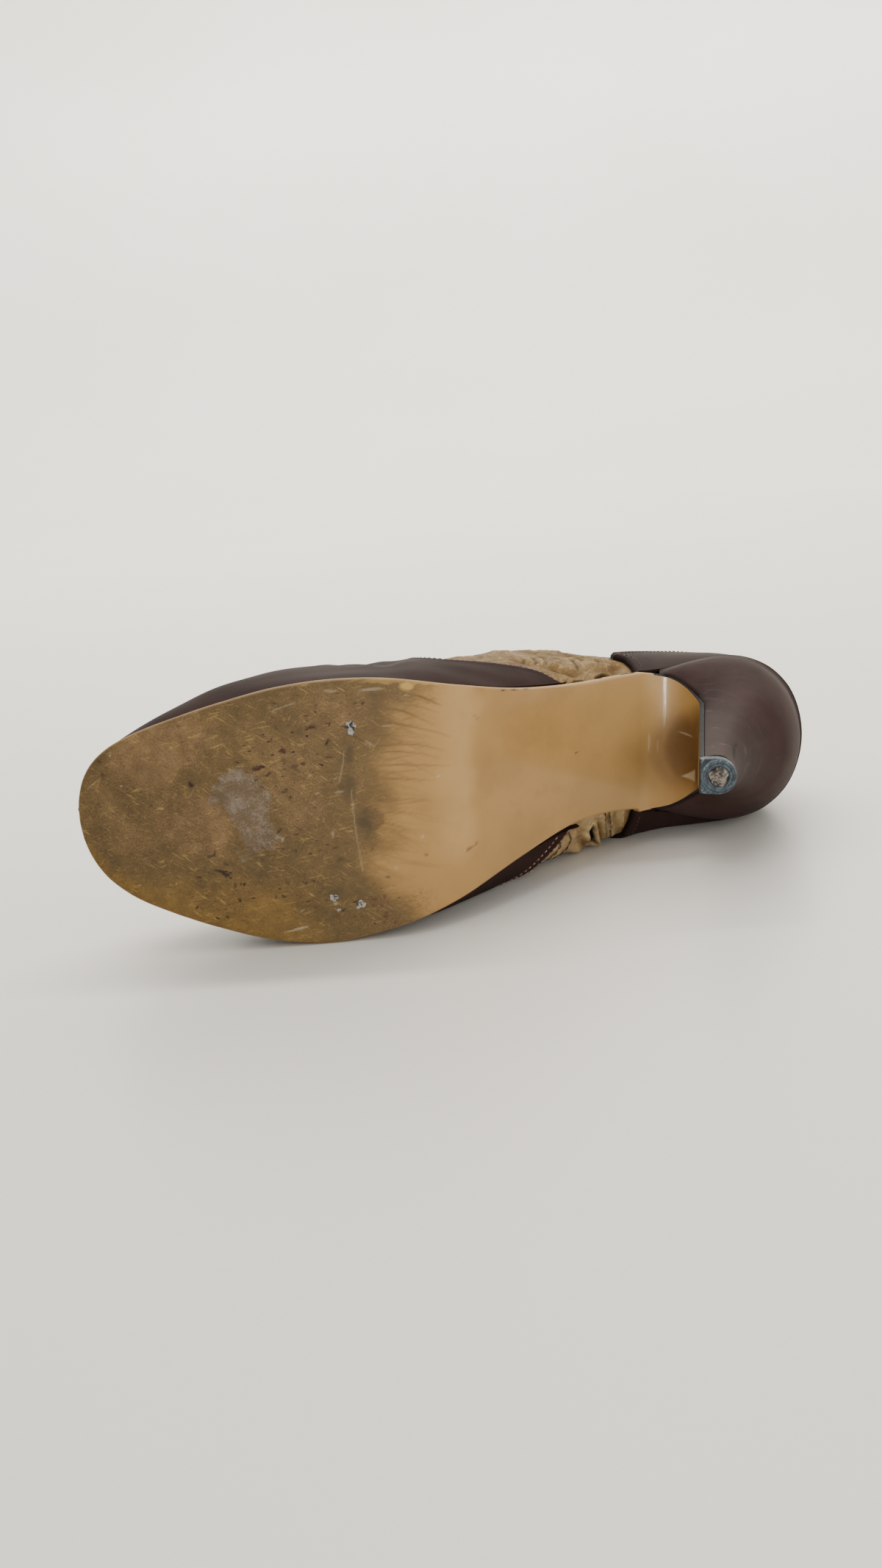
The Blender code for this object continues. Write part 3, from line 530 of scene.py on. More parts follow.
def press(points):
    """Soft leather flattened by the floor, with room left for the overlays."""
    depth = over_floor(points) - FLOOR - OVERLAY_GAP - OVERLAY_THICK
    eased = 0.5 * (depth + np.sqrt(depth**2 + PRESS_SOFT**2))
    pressed = points.copy()
    pressed[..., 1] += (eased - depth) / (math.cos(LIE_LEAN) * math.cos(LIE_DROP))
    return pressed


def upper_point(place, up):
    """Outer face of the upper: place round the shoe, share of the way from sole to collar."""
    around_place = np.mod(place, 2.0)
    run = {name: curve(UPPER_TABLES[name], 1, around_place) for name in RUN_COLUMNS}
    station, side = outline(place, EDGE_INSET)
    foot = on_last(station, side, np.zeros_like(station))
    collar = np.stack([-run["collar_u"], run["collar_y"], run["collar_z"]], axis=-1)
    leave = np.stack([-run["back_0"], run["out_0"], run["up_0"]], axis=-1)
    arrive = np.stack([-run["back_1"], run["out_1"], run["up_1"]], axis=-1)
    t = np.asarray(up, float)[..., None]
    return press(hermite(t, foot, leave, collar, arrive))


def upper_frame(place, up):
    """Point on the upper, its run round and up the shoe for a whole share, and its outward normal."""
    step = 0.004
    along = (upper_point(place + step, up) - upper_point(place - step, up)) / (2 * step)
    rise = (upper_point(place, up + step) - upper_point(place, up - step)) / (2 * step)
    normal = np.cross(along, rise)
    normal /= np.linalg.norm(normal, axis=-1, keepdims=True)
    return upper_point(place, up), along, rise, normal


def sole_path(turns, drops):
    """Under face of the sole through the fold and down the breast: rows of station, height, angle."""
    angle = float(profile_angle(FOLD_FROM))
    start = on_last(np.array(FOLD_FROM), np.array(0.0), -SOLE_THICK - GAP)
    station = -float(start[0])
    height = float(start[2])
    rows = [(station, height, angle)]
    step = (-math.pi / 2.0 - BREAST_SLANT - angle) / turns
    for _ in range(turns):
        station += math.cos(angle + step / 2.0) * FOLD_RADIUS * abs(step)
        height += math.sin(angle + step / 2.0) * FOLD_RADIUS * abs(step)
        angle += step
        rows.append((station, height, angle))
    down = (height - TIP_HEIGHT - GAP) / drops
    for _ in range(drops):
        station -= down * math.tan(BREAST_SLANT)
        height -= down
        rows.append((station, height, angle))
    rows = np.array(rows)
    run = np.concatenate([[0.0], np.cumsum(np.hypot(np.diff(rows[:, 0]), np.diff(rows[:, 1])))])
    return rows, run / run[-1], run[-1]


FLAP_ROWS, FLAP_SHARES, FLAP_LENGTH = sole_path(40, 80)


def flap_point(share, depth):
    """Station and height on the flap at a share of its length, at a depth behind its face."""
    station = np.interp(share, FLAP_SHARES, FLAP_ROWS[:, 0])
    height = np.interp(share, FLAP_SHARES, FLAP_ROWS[:, 1])
    angle = np.interp(share, FLAP_SHARES, FLAP_ROWS[:, 2])
    return station - np.sin(angle) * depth, height + np.cos(angle) * depth


TIP_STATION = float(flap_point(1.0, 0.0)[0])
PIN_PLACE = np.array([-(TIP_STATION + PIN_BACK), 0.0])


def shown_thick(share):
    """Thickness of the flap where its edge shows, thinned down past the fold."""
    thin = SOLE_THICK + (FLAP_THIN - SOLE_THICK) * smooth(share, 0.03, 0.1)
    return thin + (FLAP_EDGE - FLAP_THIN) * smooth(share, 0.12, 0.3)


def half_section(front_half, widest_half, length, count):
    """Half of a heel section from front to back: run back from the front, half width."""
    back = 1.0 - (1.0 - np.linspace(0.0, 1.0, count)) ** 2
    swell = np.minimum(back / 0.42, 1.0)
    half = front_half + (widest_half - front_half) * swell * (2.0 - swell)
    round_off = np.maximum((back - 0.42) / 0.58, 0.0)
    return back * length, half * np.sqrt(np.maximum(1.0 - round_off**2.3, 0.0))


def both_sides(run, half):
    """Loop round a section: outer side front to back, then inner side back to front."""
    return np.concatenate([run, run[-2::-1]]), np.concatenate([half, -half[-2::-1]])


def smooth(value, low, high):
    """Soft step from 0 at low to 1 at high."""
    t = np.clip((value - low) / (high - low), 0.0, 1.0)
    return t * t * (3.0 - 2.0 * t)


def ripple(x, y, wave, seed):
    """Even random waviness of about plus or minus 1, the same on each run."""
    draw = np.random.default_rng(seed)
    total = np.zeros_like(x, float)
    for _ in range(7):
        turn = draw.uniform(0.0, 2.0 * math.pi)
        length = wave * draw.uniform(0.6, 1.7)
        phase = draw.uniform(0.0, 2.0 * math.pi)
        total += np.sin((x * math.cos(turn) + y * math.sin(turn)) * 2.0 * math.pi / length + phase)
    return total / 3.0


def blots(x, y, table, spread=1.0):
    """Soft-edged spots from a table of x, y, half length, half width, turn, strength."""
    most = np.zeros_like(x, float)
    for at_x, at_y, long, wide, turn, strength in table:
        angle = math.radians(turn)
        dx = x - at_x
        dy = y - at_y
        along = (dx * math.cos(angle) + dy * math.sin(angle)) / (long * spread)
        across = (dy * math.cos(angle) - dx * math.sin(angle)) / (wide * spread)
        reach = np.hypot(along, across)
        most = np.maximum(most, strength * smooth(-reach, -1.35, -0.65))
    return most


def line_distance(points, line):
    """Distance from each point to a line of straight runs."""
    line = np.asarray(line, float)
    least = np.full(len(points), np.inf)
    for start, end in zip(line[:-1], line[1:]):
        run = end - start
        t = np.clip(((points - start) @ run) / max(run @ run, 1e-9), 0.0, 1.0)
        least = np.minimum(least, np.linalg.norm(points - (start + t[:, None] * run), axis=1))
    return least


def inside_loop(points, loop):
    """Whether each point lies inside a flat loop."""
    loop = np.asarray(loop, float)
    found = np.zeros(len(points), bool)
    for (x0, y0), (x1, y1) in zip(loop, np.roll(loop, -1, axis=0)):
        crosses = (y0 > points[:, 1]) != (y1 > points[:, 1])
        at = x0 + (points[:, 1] - y0) * (x1 - x0) / (y1 - y0 if y1 != y0 else 1e-9)
        found ^= crosses & (points[:, 0] < at)
    return found


def round_edge(distance, radius):
    """Drop of a rounded edge at a distance in from it."""
    inner = np.clip(radius - distance, 0.0, radius)
    return radius - np.sqrt(radius**2 - inner**2)


def lie_matrix():
    """Turns the standing shoe onto its inner side: heel to the right, sole to the front."""
    over = Matrix(((-1.0, 0.0, 0.0), (0.0, 0.0, 1.0), (0.0, 1.0, 0.0))).to_4x4()
    lean = Matrix.Rotation(LIE_LEAN, 4, "X")
    drop = Matrix.Rotation(LIE_DROP, 4, "Y")
    shift = Matrix.Translation(Vector((LIE_SHIFT[0], LIE_SHIFT[1], -FLOOR)) * MM)
    return shift @ drop @ lean @ over


def sheet_quads(index):
    """Quads between the neighbours of a grid of point numbers."""
    return np.stack([index[:-1, :-1], index[1:, :-1], index[1:, 1:], index[:-1, 1:]], axis=-1).reshape(-1, 4)


def shell(outer, inner, closed):
    """Points and quads of a closed body between two grids of the same size."""
    rows, columns = outer.shape[:2]
    front = np.arange(rows * columns).reshape(rows, columns)
    if closed:
        front = np.vstack([front, front[:1]])
    back = front + rows * columns
    quads = [sheet_quads(front), sheet_quads(back)[:, ::-1]]
    quads.append(sheet_quads(np.stack([front[:, 0], back[:, 0]], axis=1))[:, ::-1])
    quads.append(sheet_quads(np.stack([front[:, -1], back[:, -1]], axis=1)))
    if not closed:
        quads.append(sheet_quads(np.stack([front[0], back[0]], axis=1)))
        quads.append(sheet_quads(np.stack([front[-1], back[-1]], axis=1))[:, ::-1])
    return np.concatenate([outer.reshape(-1, 3), inner.reshape(-1, 3)]), np.concatenate(quads)


def tube(rings, capped):
    """Points and quads of a body through closed rings, with its ends closed across from side to side."""
    rings = np.asarray(rings, float)
    levels, count = rings.shape[:2]
    index = np.arange(levels * count).reshape(levels, count)
    quads = [sheet_quads(np.hstack([index, index[:, :1]]))]
    if capped:
        half = count // 2
        for ring, turn in ((index[0], 1), (index[-1], -1)):
            near = ring[:half]
            far = ring[::-1][:half]
            quads.append(sheet_quads(np.stack([near, far], axis=0))[:, ::turn])
    return rings.reshape(-1, 3), np.concatenate(quads)


def join_bodies(bodies):
    """Points and quads of several bodies as one."""
    points = []
    quads = []
    total = 0
    for made, faces in bodies:
        points.append(made)
        quads.append(faces + total)
        total += len(made)
    return np.concatenate(points), np.concatenate(quads)


def add_piece(name, points, quads, finish, nodes, marks=None, sharp=50.0):
    """Mesh piece from points in the standing shoe's axes, laid on its side in place of CAD nodes."""
    a, b, c, d = (points[quads[:, corner]] for corner in range(4))
    volume = np.einsum("ij,ij->i", a, np.cross(b, c)).sum() + np.einsum("ij,ij->i", a, np.cross(c, d)).sum()
    if volume < 0.0:
        quads = quads[:, ::-1]
    faces = [tuple(dict.fromkeys(face)) for face in quads.tolist()]
    lie = np.array(lie_matrix())
    laid = points * MM @ lie[:3, :3].T + lie[:3, 3]
    mesh = bpy.data.meshes.new(name)
    mesh.from_pydata(laid.tolist(), [], [face for face in faces if len(face) > 2])
    mesh.polygons.foreach_set("use_smooth", np.ones(len(mesh.polygons), bool))
    mesh.set_sharp_from_angle(angle=math.radians(sharp))
    for mark, values in (marks or {}).items():
        layer = mesh.attributes.new(mark, "FLOAT", "POINT")
        layer.data.foreach_set("value", np.asarray(values, np.float32).ravel())
    mesh.materials.append(finish)
    mesh.update()
    piece = bpy.data.objects.new(name, mesh)
    bpy.context.scene.collection.objects.link(piece)
    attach(piece, "root")
    for node in nodes:
        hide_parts(node)


class Wire:
    """One output of a finish's nodes. Arithmetic on it adds Math nodes."""

    def __init__(self, finish, socket):
        self.finish = finish
        self.socket = socket

    def math(self, operation, *values):
        inputs = dict(enumerate(values))
        return self.finish.node("ShaderNodeMath", {"operation": operation}, inputs)

    def __add__(self, other):
        return self.math("ADD", self, other)

    def __sub__(self, other):
        return self.math("SUBTRACT", self, other)

    def __rsub__(self, other):
        return self.math("SUBTRACT", other, self)

    def __mul__(self, other):
        return self.math("MULTIPLY", self, other)

    __radd__ = __add__
    __rmul__ = __mul__

    def most(self, other):
        return self.math("MAXIMUM", self, other)

    def least(self, other):
        return self.math("MINIMUM", self, other)

    def step(self, low, high):
        """Soft step from 0 at low to 1 at high."""
        values = {"Value": self, "From Min": low, "From Max": high}
        return self.finish.node("ShaderNodeMapRange", {"interpolation_type": "SMOOTHSTEP"}, values)


class Finish:
    """Material whose nodes are added by expressions."""

    def __init__(self, name):
        self.material = bpy.data.materials.new(name)
        self.material.use_nodes = True
        self.tree = self.material.node_tree
        self.shader = self.tree.nodes["Principled BSDF"]
        lie = lie_matrix()
        values = {"Vector": self.node("ShaderNodeTexCoord", output=3), "Location": lie.to_translation()}
        values["Rotation"] = lie.to_euler()
        self.standing = self.node("ShaderNodeMapping", {"vector_type": "TEXTURE"}, values)

    def node(self, kind, settings=None, values=None, output=0):
        made = self.tree.nodes.new(kind)
        for name, value in (settings or {}).items():
            if name == "stops":
                while len(made.color_ramp.elements) < len(value):
                    made.color_ramp.elements.new(1.0)
                for element, (position, colour) in zip(made.color_ramp.elements, value):
                    element.position = position
                    element.color = tuple(colour) + (1.0,)
            else:
                setattr(made, name, value)
        for name, value in (values or {}).items():
            self.join(made.inputs[name], value)
        return Wire(self, made.outputs[output])

    def join(self, socket, value):
        if isinstance(value, Wire):
            self.tree.links.new(value.socket, socket)
        elif hasattr(socket.default_value, "__len__") and len(socket.default_value) == 4 and len(value) == 3:
            socket.default_value = tuple(value) + (1.0,)
        else:
            socket.default_value = value

    def feed(self, **values):
        """Values or wires for the shader, by socket name with _ for a space."""
        for name, value in values.items():
            self.join(self.shader.inputs[name.replace("_", " ")], value)

    def mark(self, name):
        return self.node("ShaderNodeAttribute", {"attribute_name": name}, output=2)

    def place(self, stretch=(1.0, 1.0, 1.0), turn=0.0):
        """Place on the standing shoe in millimetres, turned about the height and stretched."""
        at = self.standing
        if turn:
            values = {"Vector": at, "Angle": math.radians(turn)}
            at = self.node("ShaderNodeVectorRotate", {"rotation_type": "Z_AXIS"}, values)
        scale = tuple(1000.0 * value for value in stretch)
        return self.node("ShaderNodeVectorMath", {"operation": "MULTIPLY"}, {0: at, 1: scale})

    def noise(self, at, scale, detail, rough, distortion=0.0):
        values = dict(Vector=at, Scale=scale, Detail=detail, Roughness=rough, Distortion=distortion)
        return self.node("ShaderNodeTexNoise", None, values)

    def cells(self, at, scale, feature="F1"):
        return self.node("ShaderNodeTexVoronoi", {"feature": feature}, {"Vector": at, "Scale": scale})

    def rings(self, at, centre, pitch):
        """Noise drawn out into arcs about an upright axis, and the distance from that axis."""
        offset = self.node("ShaderNodeVectorMath", {"operation": "SUBTRACT"}, {0: at, 1: centre})
        flat = self.node("ShaderNodeVectorMath", {"operation": "MULTIPLY"}, {0: offset, 1: (1.0, 1.0, 0.0)})
        reach = self.node("ShaderNodeVectorMath", {"operation": "LENGTH"}, {0: flat}, output=1)
        spot = self.node("ShaderNodeVectorMath", {"operation": "SCALE"}, {0: flat, "Scale": 0.05 * pitch})
        ring = self.node("ShaderNodeCombineXYZ", None, {0: reach * pitch, 1: 0.0, 2: 0.0})
        drawn = self.node("ShaderNodeVectorMath", {"operation": "ADD"}, {0: ring, 1: spot})
        return self.noise(drawn, 1.0, 3.0, 0.6), reach

    def ramp(self, factor, *stops):
        return self.node("ShaderNodeValToRGB", {"stops": stops}, {0: factor})

    def blend(self, factor, first, second):
        settings = {"data_type": "RGBA", "blend_type": "MIX", "clamp_factor": True}
        return self.node("ShaderNodeMix", settings, {0: factor, 6: first, 7: second}, output=2)

    def bump(self, height, distance, strength):
        values = {"Height": height, "Distance": distance * MM, "Strength": strength}
        self.feed(Normal=self.node("ShaderNodeBump", None, values))


def tread_tones(made, tone, colours):
    """Four tones of worn sole leather, from dark to light."""
    return made.ramp(tone, *zip(TONE_STOPS, (srgb(*colour) for colour in colours)))


def sole_finish(colours):
    """Tan leather sole: glossy and clean at the shank, scuffed down to olive brown at the tread, with painted
    highlights behind the ball and near the fold and painted shade in the fold.
    """
    made = Finish("sole_leather")
    at = made.place()
    broad = made.noise(at, 0.045, 3.0, 0.55)
    patch = made.noise(at, 0.25, 5.0, 0.62)
    speck = made.noise(at, 1.9, 4.0, 0.65)
    fine = made.noise(at, 5.0, 3.0, 0.6)
    scuffs = [made.noise(made.place((0.14, 1.0, 1.0), turn), 1.5, 3.0, 0.6, 0.5) for turn in SCUFF_TURNS]
    most = scuffs[0].most(scuffs[1]).most(scuffs[2] - 0.04)
    least = scuffs[0].least(scuffs[1]).least(scuffs[2] + 0.04)
    nick = made.noise(made.place((0.42, 1.0, 1.0), 6.0), 0.9, 2.0, 0.5)

    worn = (made.mark("worn") + (scuffs[0] - 0.5) * 0.5 + (patch - 0.5) * 0.5).step(0.05, 0.95)
    haze = made.noise(made.place((0.6, 1.0, 1.0)), 0.075, 4.0, 0.6)
    clean = made.blend(broad.step(0.35, 0.65), tuple(colours.sole_clean), srgb(155, 119, 68))
    clean = made.blend(haze.step(0.5, 0.66) * 0.35, clean, srgb(130, 97, 52))
    # Painted highlight: the bend behind the ball and the shank up to the fold made lighter
    clean = made.blend(made.mark("band") * 0.4, clean, srgb(182, 149, 98))
    # Painted shade and dark reflection in the fold of the breast and at the end of the shank
    clean = made.blend(made.mark("shade"), clean, srgb(80, 52, 16))
    tone = broad * 0.3 + patch * 0.2 + speck * 0.3 + fine * 0.2
    olive = tread_tones(made, tone, OLIVE_TREAD)
    pink = tread_tones(made, tone, PINK_TREAD)
    gold = tread_tones(made, tone, GOLD_TREAD)
    drift = (broad - 0.5) * 1.3 + (patch - 0.5) * 0.5 + (speck - 0.5) * 0.9
    tread = made.blend((made.mark("warm") + drift).step(0.0, 1.0), olive, pink)
    tread = made.blend((made.mark("gold") + (broad - 0.5) * 0.8).step(0.1, 0.9), tread, gold)
    tread = made.blend(patch.step(0.5, 0.36) * 0.14, tread, srgb(64, 50, 24))
    tread = made.blend((speck * 0.5 + fine * 0.5).step(0.46, 0.34) * 0.5, tread, srgb(60, 46, 22))
    tread = made.blend(least.step(0.4, 0.28) * 0.5, tread, srgb(58, 44, 22))
    tread = made.blend(most.step(0.58, 0.72) * (0.2 + patch.step(0.42, 0.6) * 0.5), tread, srgb(158, 125, 70))
    colour = made.blend(worn, clean, tread)
    bloom = (made.mark("bloom") + (patch - 0.5) * 1.6 + (speck - 0.5) * 0.8).step(0.3, 1.0)
    colour = made.blend(bloom * 0.45, colour, srgb(98, 85, 72))
    chalky = (speck * 0.5 + patch * 0.5).step(0.48, 0.62)
    colour = made.blend(bloom * chalky * 0.5, colour, srgb(128, 114, 105))
    smudge = (made.mark("smudge") + (speck - 0.5) * 1.2 + (scuffs[0] - 0.5) * 0.9).step(0.15, 1.1)
    colour = made.blend(smudge * 0.62, colour, srgb(54, 43, 23))
    colour = made.blend(made.mark("hair") * 0.9, colour, srgb(84, 60, 29))
    nicks = nick.step(0.655, 0.69) * made.mark("nicks") * worn
    colour = made.blend(made.mark("pit").most(nicks), colour, srgb(42, 24, 12))
    colour = made.blend(made.mark("rust") * 0.8, colour, srgb(80, 36, 20))
    colour = made.blend(made.mark("yellow") * 0.8, colour, srgb(176, 140, 70))
    colour = made.blend(made.mark("pale") * 0.4, colour, srgb(190, 174, 148))
    colour = made.blend(made.mark("edge") * 0.6, colour, srgb(160, 124, 74))
    ragged = speck * 0.5 + fine * 0.5
    ink = (made.mark("ink") + (ragged - 0.5) * 0.9).step(0.35, 0.6)
    colour = made.blend(ink, colour, made.ramp(ragged, (0.46, srgb(5, 5, 4)), (0.64, srgb(52, 52, 46))))
    made.feed(Base_Color=colour)
    dull = worn.most(made.mark("edge")).most(ink)
    gloss = made.mark("gloss") * (1.0 - dull)
    rough = 0.7 - gloss * 0.3 - dull * 0.1 + ink * 0.2 + (fine - 0.5) * 0.08
    made.feed(Roughness=rough, Specular_IOR_Level=0.32)
    made.feed(Coat_Weight=0.3 * gloss, Coat_Roughness=0.08)
    relief = worn * (most * 0.6 + speck * 0.5 + fine * 0.25 - nicks * 1.5) + fine * 0.05 + ink * speck * 0.9
    made.bump(relief, 0.2, 0.8)
    return made.material


def brown_finish(name, base, gloss, sheen, arcs):
    """Smooth dark brown leather with a faint grain, dull rubs and, on the heel, scratches round the tip."""
    made = Finish(name)
    at = made.place()
    cloud = made.noise(at, 0.05, 4.0, 0.6)
    pores = made.cells(at, 1.6)
    fine = made.noise(at, 3.2, 4.0, 0.6)
    rub = made.noise(made.place((0.2, 1.0, 1.0), 8.0), 0.7, 5.0, 0.65)
    lit = tuple(min(value * 1.2, 1.0) for value in base)
    deep = tuple(value * 0.8 for value in base)
    colour = made.blend(cloud.step(0.3, 0.7), deep, lit)
    colour = made.blend(rub.step(0.58, 0.74) * 0.12, colour, srgb(112, 94, 88))
    if arcs:
        line, reach = made.rings(at, arcs, 2.2)
        near = reach.step(20.0, 8.0) * made.noise(at, 0.16, 3.0, 0.6).step(0.42, 0.6)
        colour = made.blend(line.step(0.55, 0.68) * near * 0.22, colour, srgb(140, 120, 112))
        colour = made.blend(line.step(0.42, 0.32) * near * 0.5, colour, srgb(26, 18, 16))
    colour = made.blend(made.mark("edge") * 0.8, colour, srgb(16, 11, 10))
    made.feed(Base_Color=colour)
    made.feed(Roughness=gloss + (fine - 0.5) * 0.1 + rub.step(0.55, 0.75) * 0.08)
    made.feed(Specular_IOR_Level=sheen)
    made.bump(pores * 0.3 + fine * 0.35 + rub * 0.25, 0.07, 0.6)
    return made.material


def tan_finish(colours):
    """Soft tan leather, darker in its creases as painted shade, and pale on the raised folds from wear and a
    painted highlight.
    """
    made = Finish("tan_leather")
    at = made.place()
    cloud = made.noise(at, 0.1, 5.0, 0.62)
    wrinkle = made.noise(made.place((1.0, 1.0, 0.5)), 0.6, 6.0, 0.66, 0.9)
    fine = made.noise(at, 2.8, 4.0, 0.62)
    cells = made.cells(at, 1.3, "DISTANCE_TO_EDGE")
    lines = (wrinkle - 0.5).most(0.5 - wrinkle).step(0.03, 0.0)
    colour = made.ramp(
        cloud * 0.45 + wrinkle * 0.4 + fine * 0.15,
        (0.36, srgb(92, 70, 40)), (0.45, srgb(120, 95, 58)),
        (0.52, tuple(colours.tan)), (0.62, srgb(164, 137, 94)),
    )
    colour = made.blend(lines * 0.3, colour, srgb(84, 62, 36))
    # Painted shade in the creases of the folds
    colour = made.blend(made.mark("trough") * 0.65, colour, srgb(92, 66, 36))
    # Raised folds, tear rims and the lower inner side painted paler: partly rubbed wear, partly painted
    # highlight and painted light
    colour = made.blend(made.mark("ridge") * 0.45, colour, srgb(202, 176, 132))
    colour = made.blend(made.mark("groove") * 0.85, colour, srgb(54, 38, 22))
    # Darker along the overlays' edges and at the foot by the sole: painted shade in these joins, with grime
    colour = made.blend(made.mark("dirt") * 0.7, colour, srgb(62, 44, 28))
    # Painted shade: the inside of each tear painted black
    colour = made.blend(made.mark("hole"), colour, srgb(6, 5, 5))
    made.feed(Base_Color=colour)
    made.feed(Roughness=0.5 + (fine - 0.5) * 0.2 + made.mark("trough") * 0.12 + made.mark("hole") * 0.3)
    made.feed(Specular_IOR_Level=0.06)
    made.bump(wrinkle * 0.9 + fine * 0.25 + cells.step(0.0, 0.12) * 0.12 - lines * 0.2, 0.36, 0.9)
    return made.material


def lining_finish(colours):
    """Pale lining leather, darker towards the sole."""
    made = Finish("lining_leather")
    at = made.place()
    cloud = made.noise(at, 0.06, 4.0, 0.6)
    fine = made.noise(at, 2.4, 4.0, 0.6)
    colour = made.blend(cloud.step(0.35, 0.65), tuple(colours.lining), srgb(150, 120, 84))
    colour = made.blend(made.mark("dirt") * 0.6, colour, srgb(92, 70, 46))
    made.feed(Base_Color=colour, Roughness=0.62 + (fine - 0.5) * 0.2)
    made.bump(fine * 0.5 + cloud * 0.2, 0.15, 0.6)
    return made.material


def rubber_finish(colours, centre):
    """Dark slate tip, scratched lighter in arcs round its pin, with painted shade in the gap round the pin.
    """
    made = Finish("grey_rubber")
    at = made.place()
    line, reach = made.rings(at, centre, 1.8)
    scrape = made.noise(made.place((0.4, 1.0, 1.0), 60.0), 0.9, 4.0, 0.65, 1.2)
    fine = made.noise(at, 3.0, 4.0, 0.65)
    colour = made.ramp(
        line * 0.5 + scrape * 0.35 + fine * 0.15,
        (0.41, srgb(16, 19, 21)), (0.49, tuple(colours.tip)),
        (0.55, srgb(62, 75, 81)), (0.63, srgb(130, 145, 150)),
    )
    # Painted shade: a dark ring in the gap round the pin
    colour = made.blend(reach.step(3.5, 2.8) * 0.7, colour, srgb(14, 15, 16))
    colour = made.blend(made.mark("edge") * 0.9, colour, srgb(8, 8, 8))
    made.feed(Base_Color=colour, Roughness=0.46 + (fine - 0.5) * 0.3, Specular_IOR_Level=0.3)
    made.bump(line * 0.6 + scrape * 0.6 + fine * 0.4, 0.3, 0.9)
    return made.material


def steel_finish(name, grime, light):
    """Worn bare metal with dark grit in its dents."""
    made = Finish(name)
    at = made.place()
    dents = made.noise(at, 0.75, 4.0, 0.65, 0.6)
    fine = made.noise(at, 3.0, 3.0, 0.6)
    grit = (dents * 0.7 + fine * 0.3).step(0.42 + grime, 0.36 + grime)
    colour = made.blend(dents.step(0.4, 0.6), srgb(84, 78, 73), light)
    colour = made.blend(grit, colour, srgb(42, 36, 33))
    made.feed(Base_Color=colour, Metallic=1.0 - grit * 0.8, Roughness=0.3 + fine * 0.25 + grit * 0.3)
    made.bump(dents * 1.2 + fine * 0.3, 0.9, 1.0)
    return made.material


def thread_finish(name, light, dark):
    made = Finish(name)
    strand = made.noise(made.place((1.0, 1.0, 1.0), 35.0), 3.0, 3.0, 0.6)
    made.feed(Base_Color=made.blend(strand.step(0.3, 0.7), dark, light), Roughness=0.7)
    made.bump(strand, 0.1, 0.8)
    return made.material


def floor_finish(colours):
    made = Finish("floor_paint")
    cloud = made.noise(made.place(), 0.004, 3.0, 0.5)
    made.feed(Base_Color=made.blend(cloud.step(0.3, 0.7) * 0.3, tuple(colours.floor), srgb(222, 214, 198)))
    made.feed(Roughness=0.42, Coat_Weight=0.1, Coat_Roughness=0.2)
    return made.material


class ShoeSizes(bpy.types.PropertyGroup):
    """Sizes of the shoe's small details."""

    stitch_length: FloatProperty(
        name="Stitch length", description="Length of one stitch of the overlays",
        default=0.0011, unit="LENGTH")
    stitch_space: FloatProperty(
        name="Stitch space", description="Gap between two stitches", default=0.0006, unit="LENGTH")
    thread_radius: FloatProperty(
        name="Thread radius", description="Half the thickness of the sewing thread",
        default=0.00017, unit="LENGTH")
    edge_radius: FloatProperty(
        name="Sole edge radius", description="Rounding of the sole's lower edge",
        default=0.0009, unit="LENGTH")
    fold_depth: FloatProperty(
        name="Fold depth", description="Strength of the folds in the tan leather",
        default=1.0, min=0.0, max=2.0)
    sole_columns: IntProperty(
        name="Sole columns", description="Points across the sole's under face", default=176, min=40, max=220)


class ShoeColours(bpy.types.PropertyGroup):
    """Main colours of the shoe and the stage."""

    sole_clean: FloatVectorProperty(
        name="Clean sole", description="Sole leather at the shank", subtype="COLOR",
        default=srgb(146, 111, 62))
    brown: FloatVectorProperty(
        name="Brown leather", description="Vamp and counter", subtype="COLOR", default=srgb(44, 30, 27))
    heel: FloatVectorProperty(
        name="Heel cover", description="Leather over the heel", subtype="COLOR", default=srgb(53, 39, 36))
    tan: FloatVectorProperty(
        name="Tan leather", description="Soft leather of the upper", subtype="COLOR",
        default=srgb(137, 110, 71))
    lining: FloatVectorProperty(
        name="Lining", description="Leather inside the shoe", subtype="COLOR", default=srgb(172, 146, 112))
    tip: FloatVectorProperty(
        name="Heel tip", description="Worn top piece", subtype="COLOR", default=srgb(40, 50, 56))
    floor: FloatVectorProperty(
        name="Floor", description="Pale floor under the shoe", subtype="COLOR", default=srgb(230, 226, 216))


class ShoeStage(bpy.types.PropertyGroup):
    """Camera and lights."""

    lens: FloatProperty(
        name="Lens", description="Focal length in millimetres", default=39.0, min=10.0, max=200.0)
    camera_at: FloatVectorProperty(
        name="Camera place", description="Where the camera stands", subtype="TRANSLATION", unit="LENGTH",
        default=(0.0569, -0.5178, 0.1519))
    camera_aim: FloatVectorProperty(
        name="Camera aim", description="Point that the camera looks at", subtype="TRANSLATION", unit="LENGTH",
        default=(-0.0036, -0.045, 0.0368))
    camera_roll: FloatProperty(
        name="Camera roll", description="Turn of the camera about its own axis",
        subtype="ANGLE", unit="ROTATION", default=math.radians(7.07))
    key_power: FloatProperty(
        name="Key light", description="Power of the soft light overhead", default=4.4, min=0.0)
    fill_power: FloatProperty(
        name="Fill light", description="Power of the soft light low in front", default=5.0, min=0.0)
    front_power: FloatProperty(
        name="Front light", description="Power of the small light behind the camera", default=0.1, min=0.0)
    wall_power: FloatProperty(
        name="Wall light", description="Power of the light on the backdrop", default=140.0, min=0.0)
    sky_strength: FloatProperty(
        name="Sky", description="Strength of the even light all round", default=0.8, min=0.0)


def sole_rows():
    """Stations of the sole's rows from the toe to the fold, and shares of its rows down the flap."""
    toe = station_of(np.linspace(0.003, 0.075, 14))
    tread = np.linspace(3.2, 30.0, 62)
    ball = np.linspace(30.0, 106.0, 206)[1:]
    shank = np.linspace(106.0, FOLD_FROM, 72)[1:-1]
    stations = np.concatenate([toe, tread, ball, shank])
    shares = np.concatenate([np.linspace(0.0, 0.36, 58), np.linspace(0.36, 1.0, 64)[1:]])
    return stations, shares


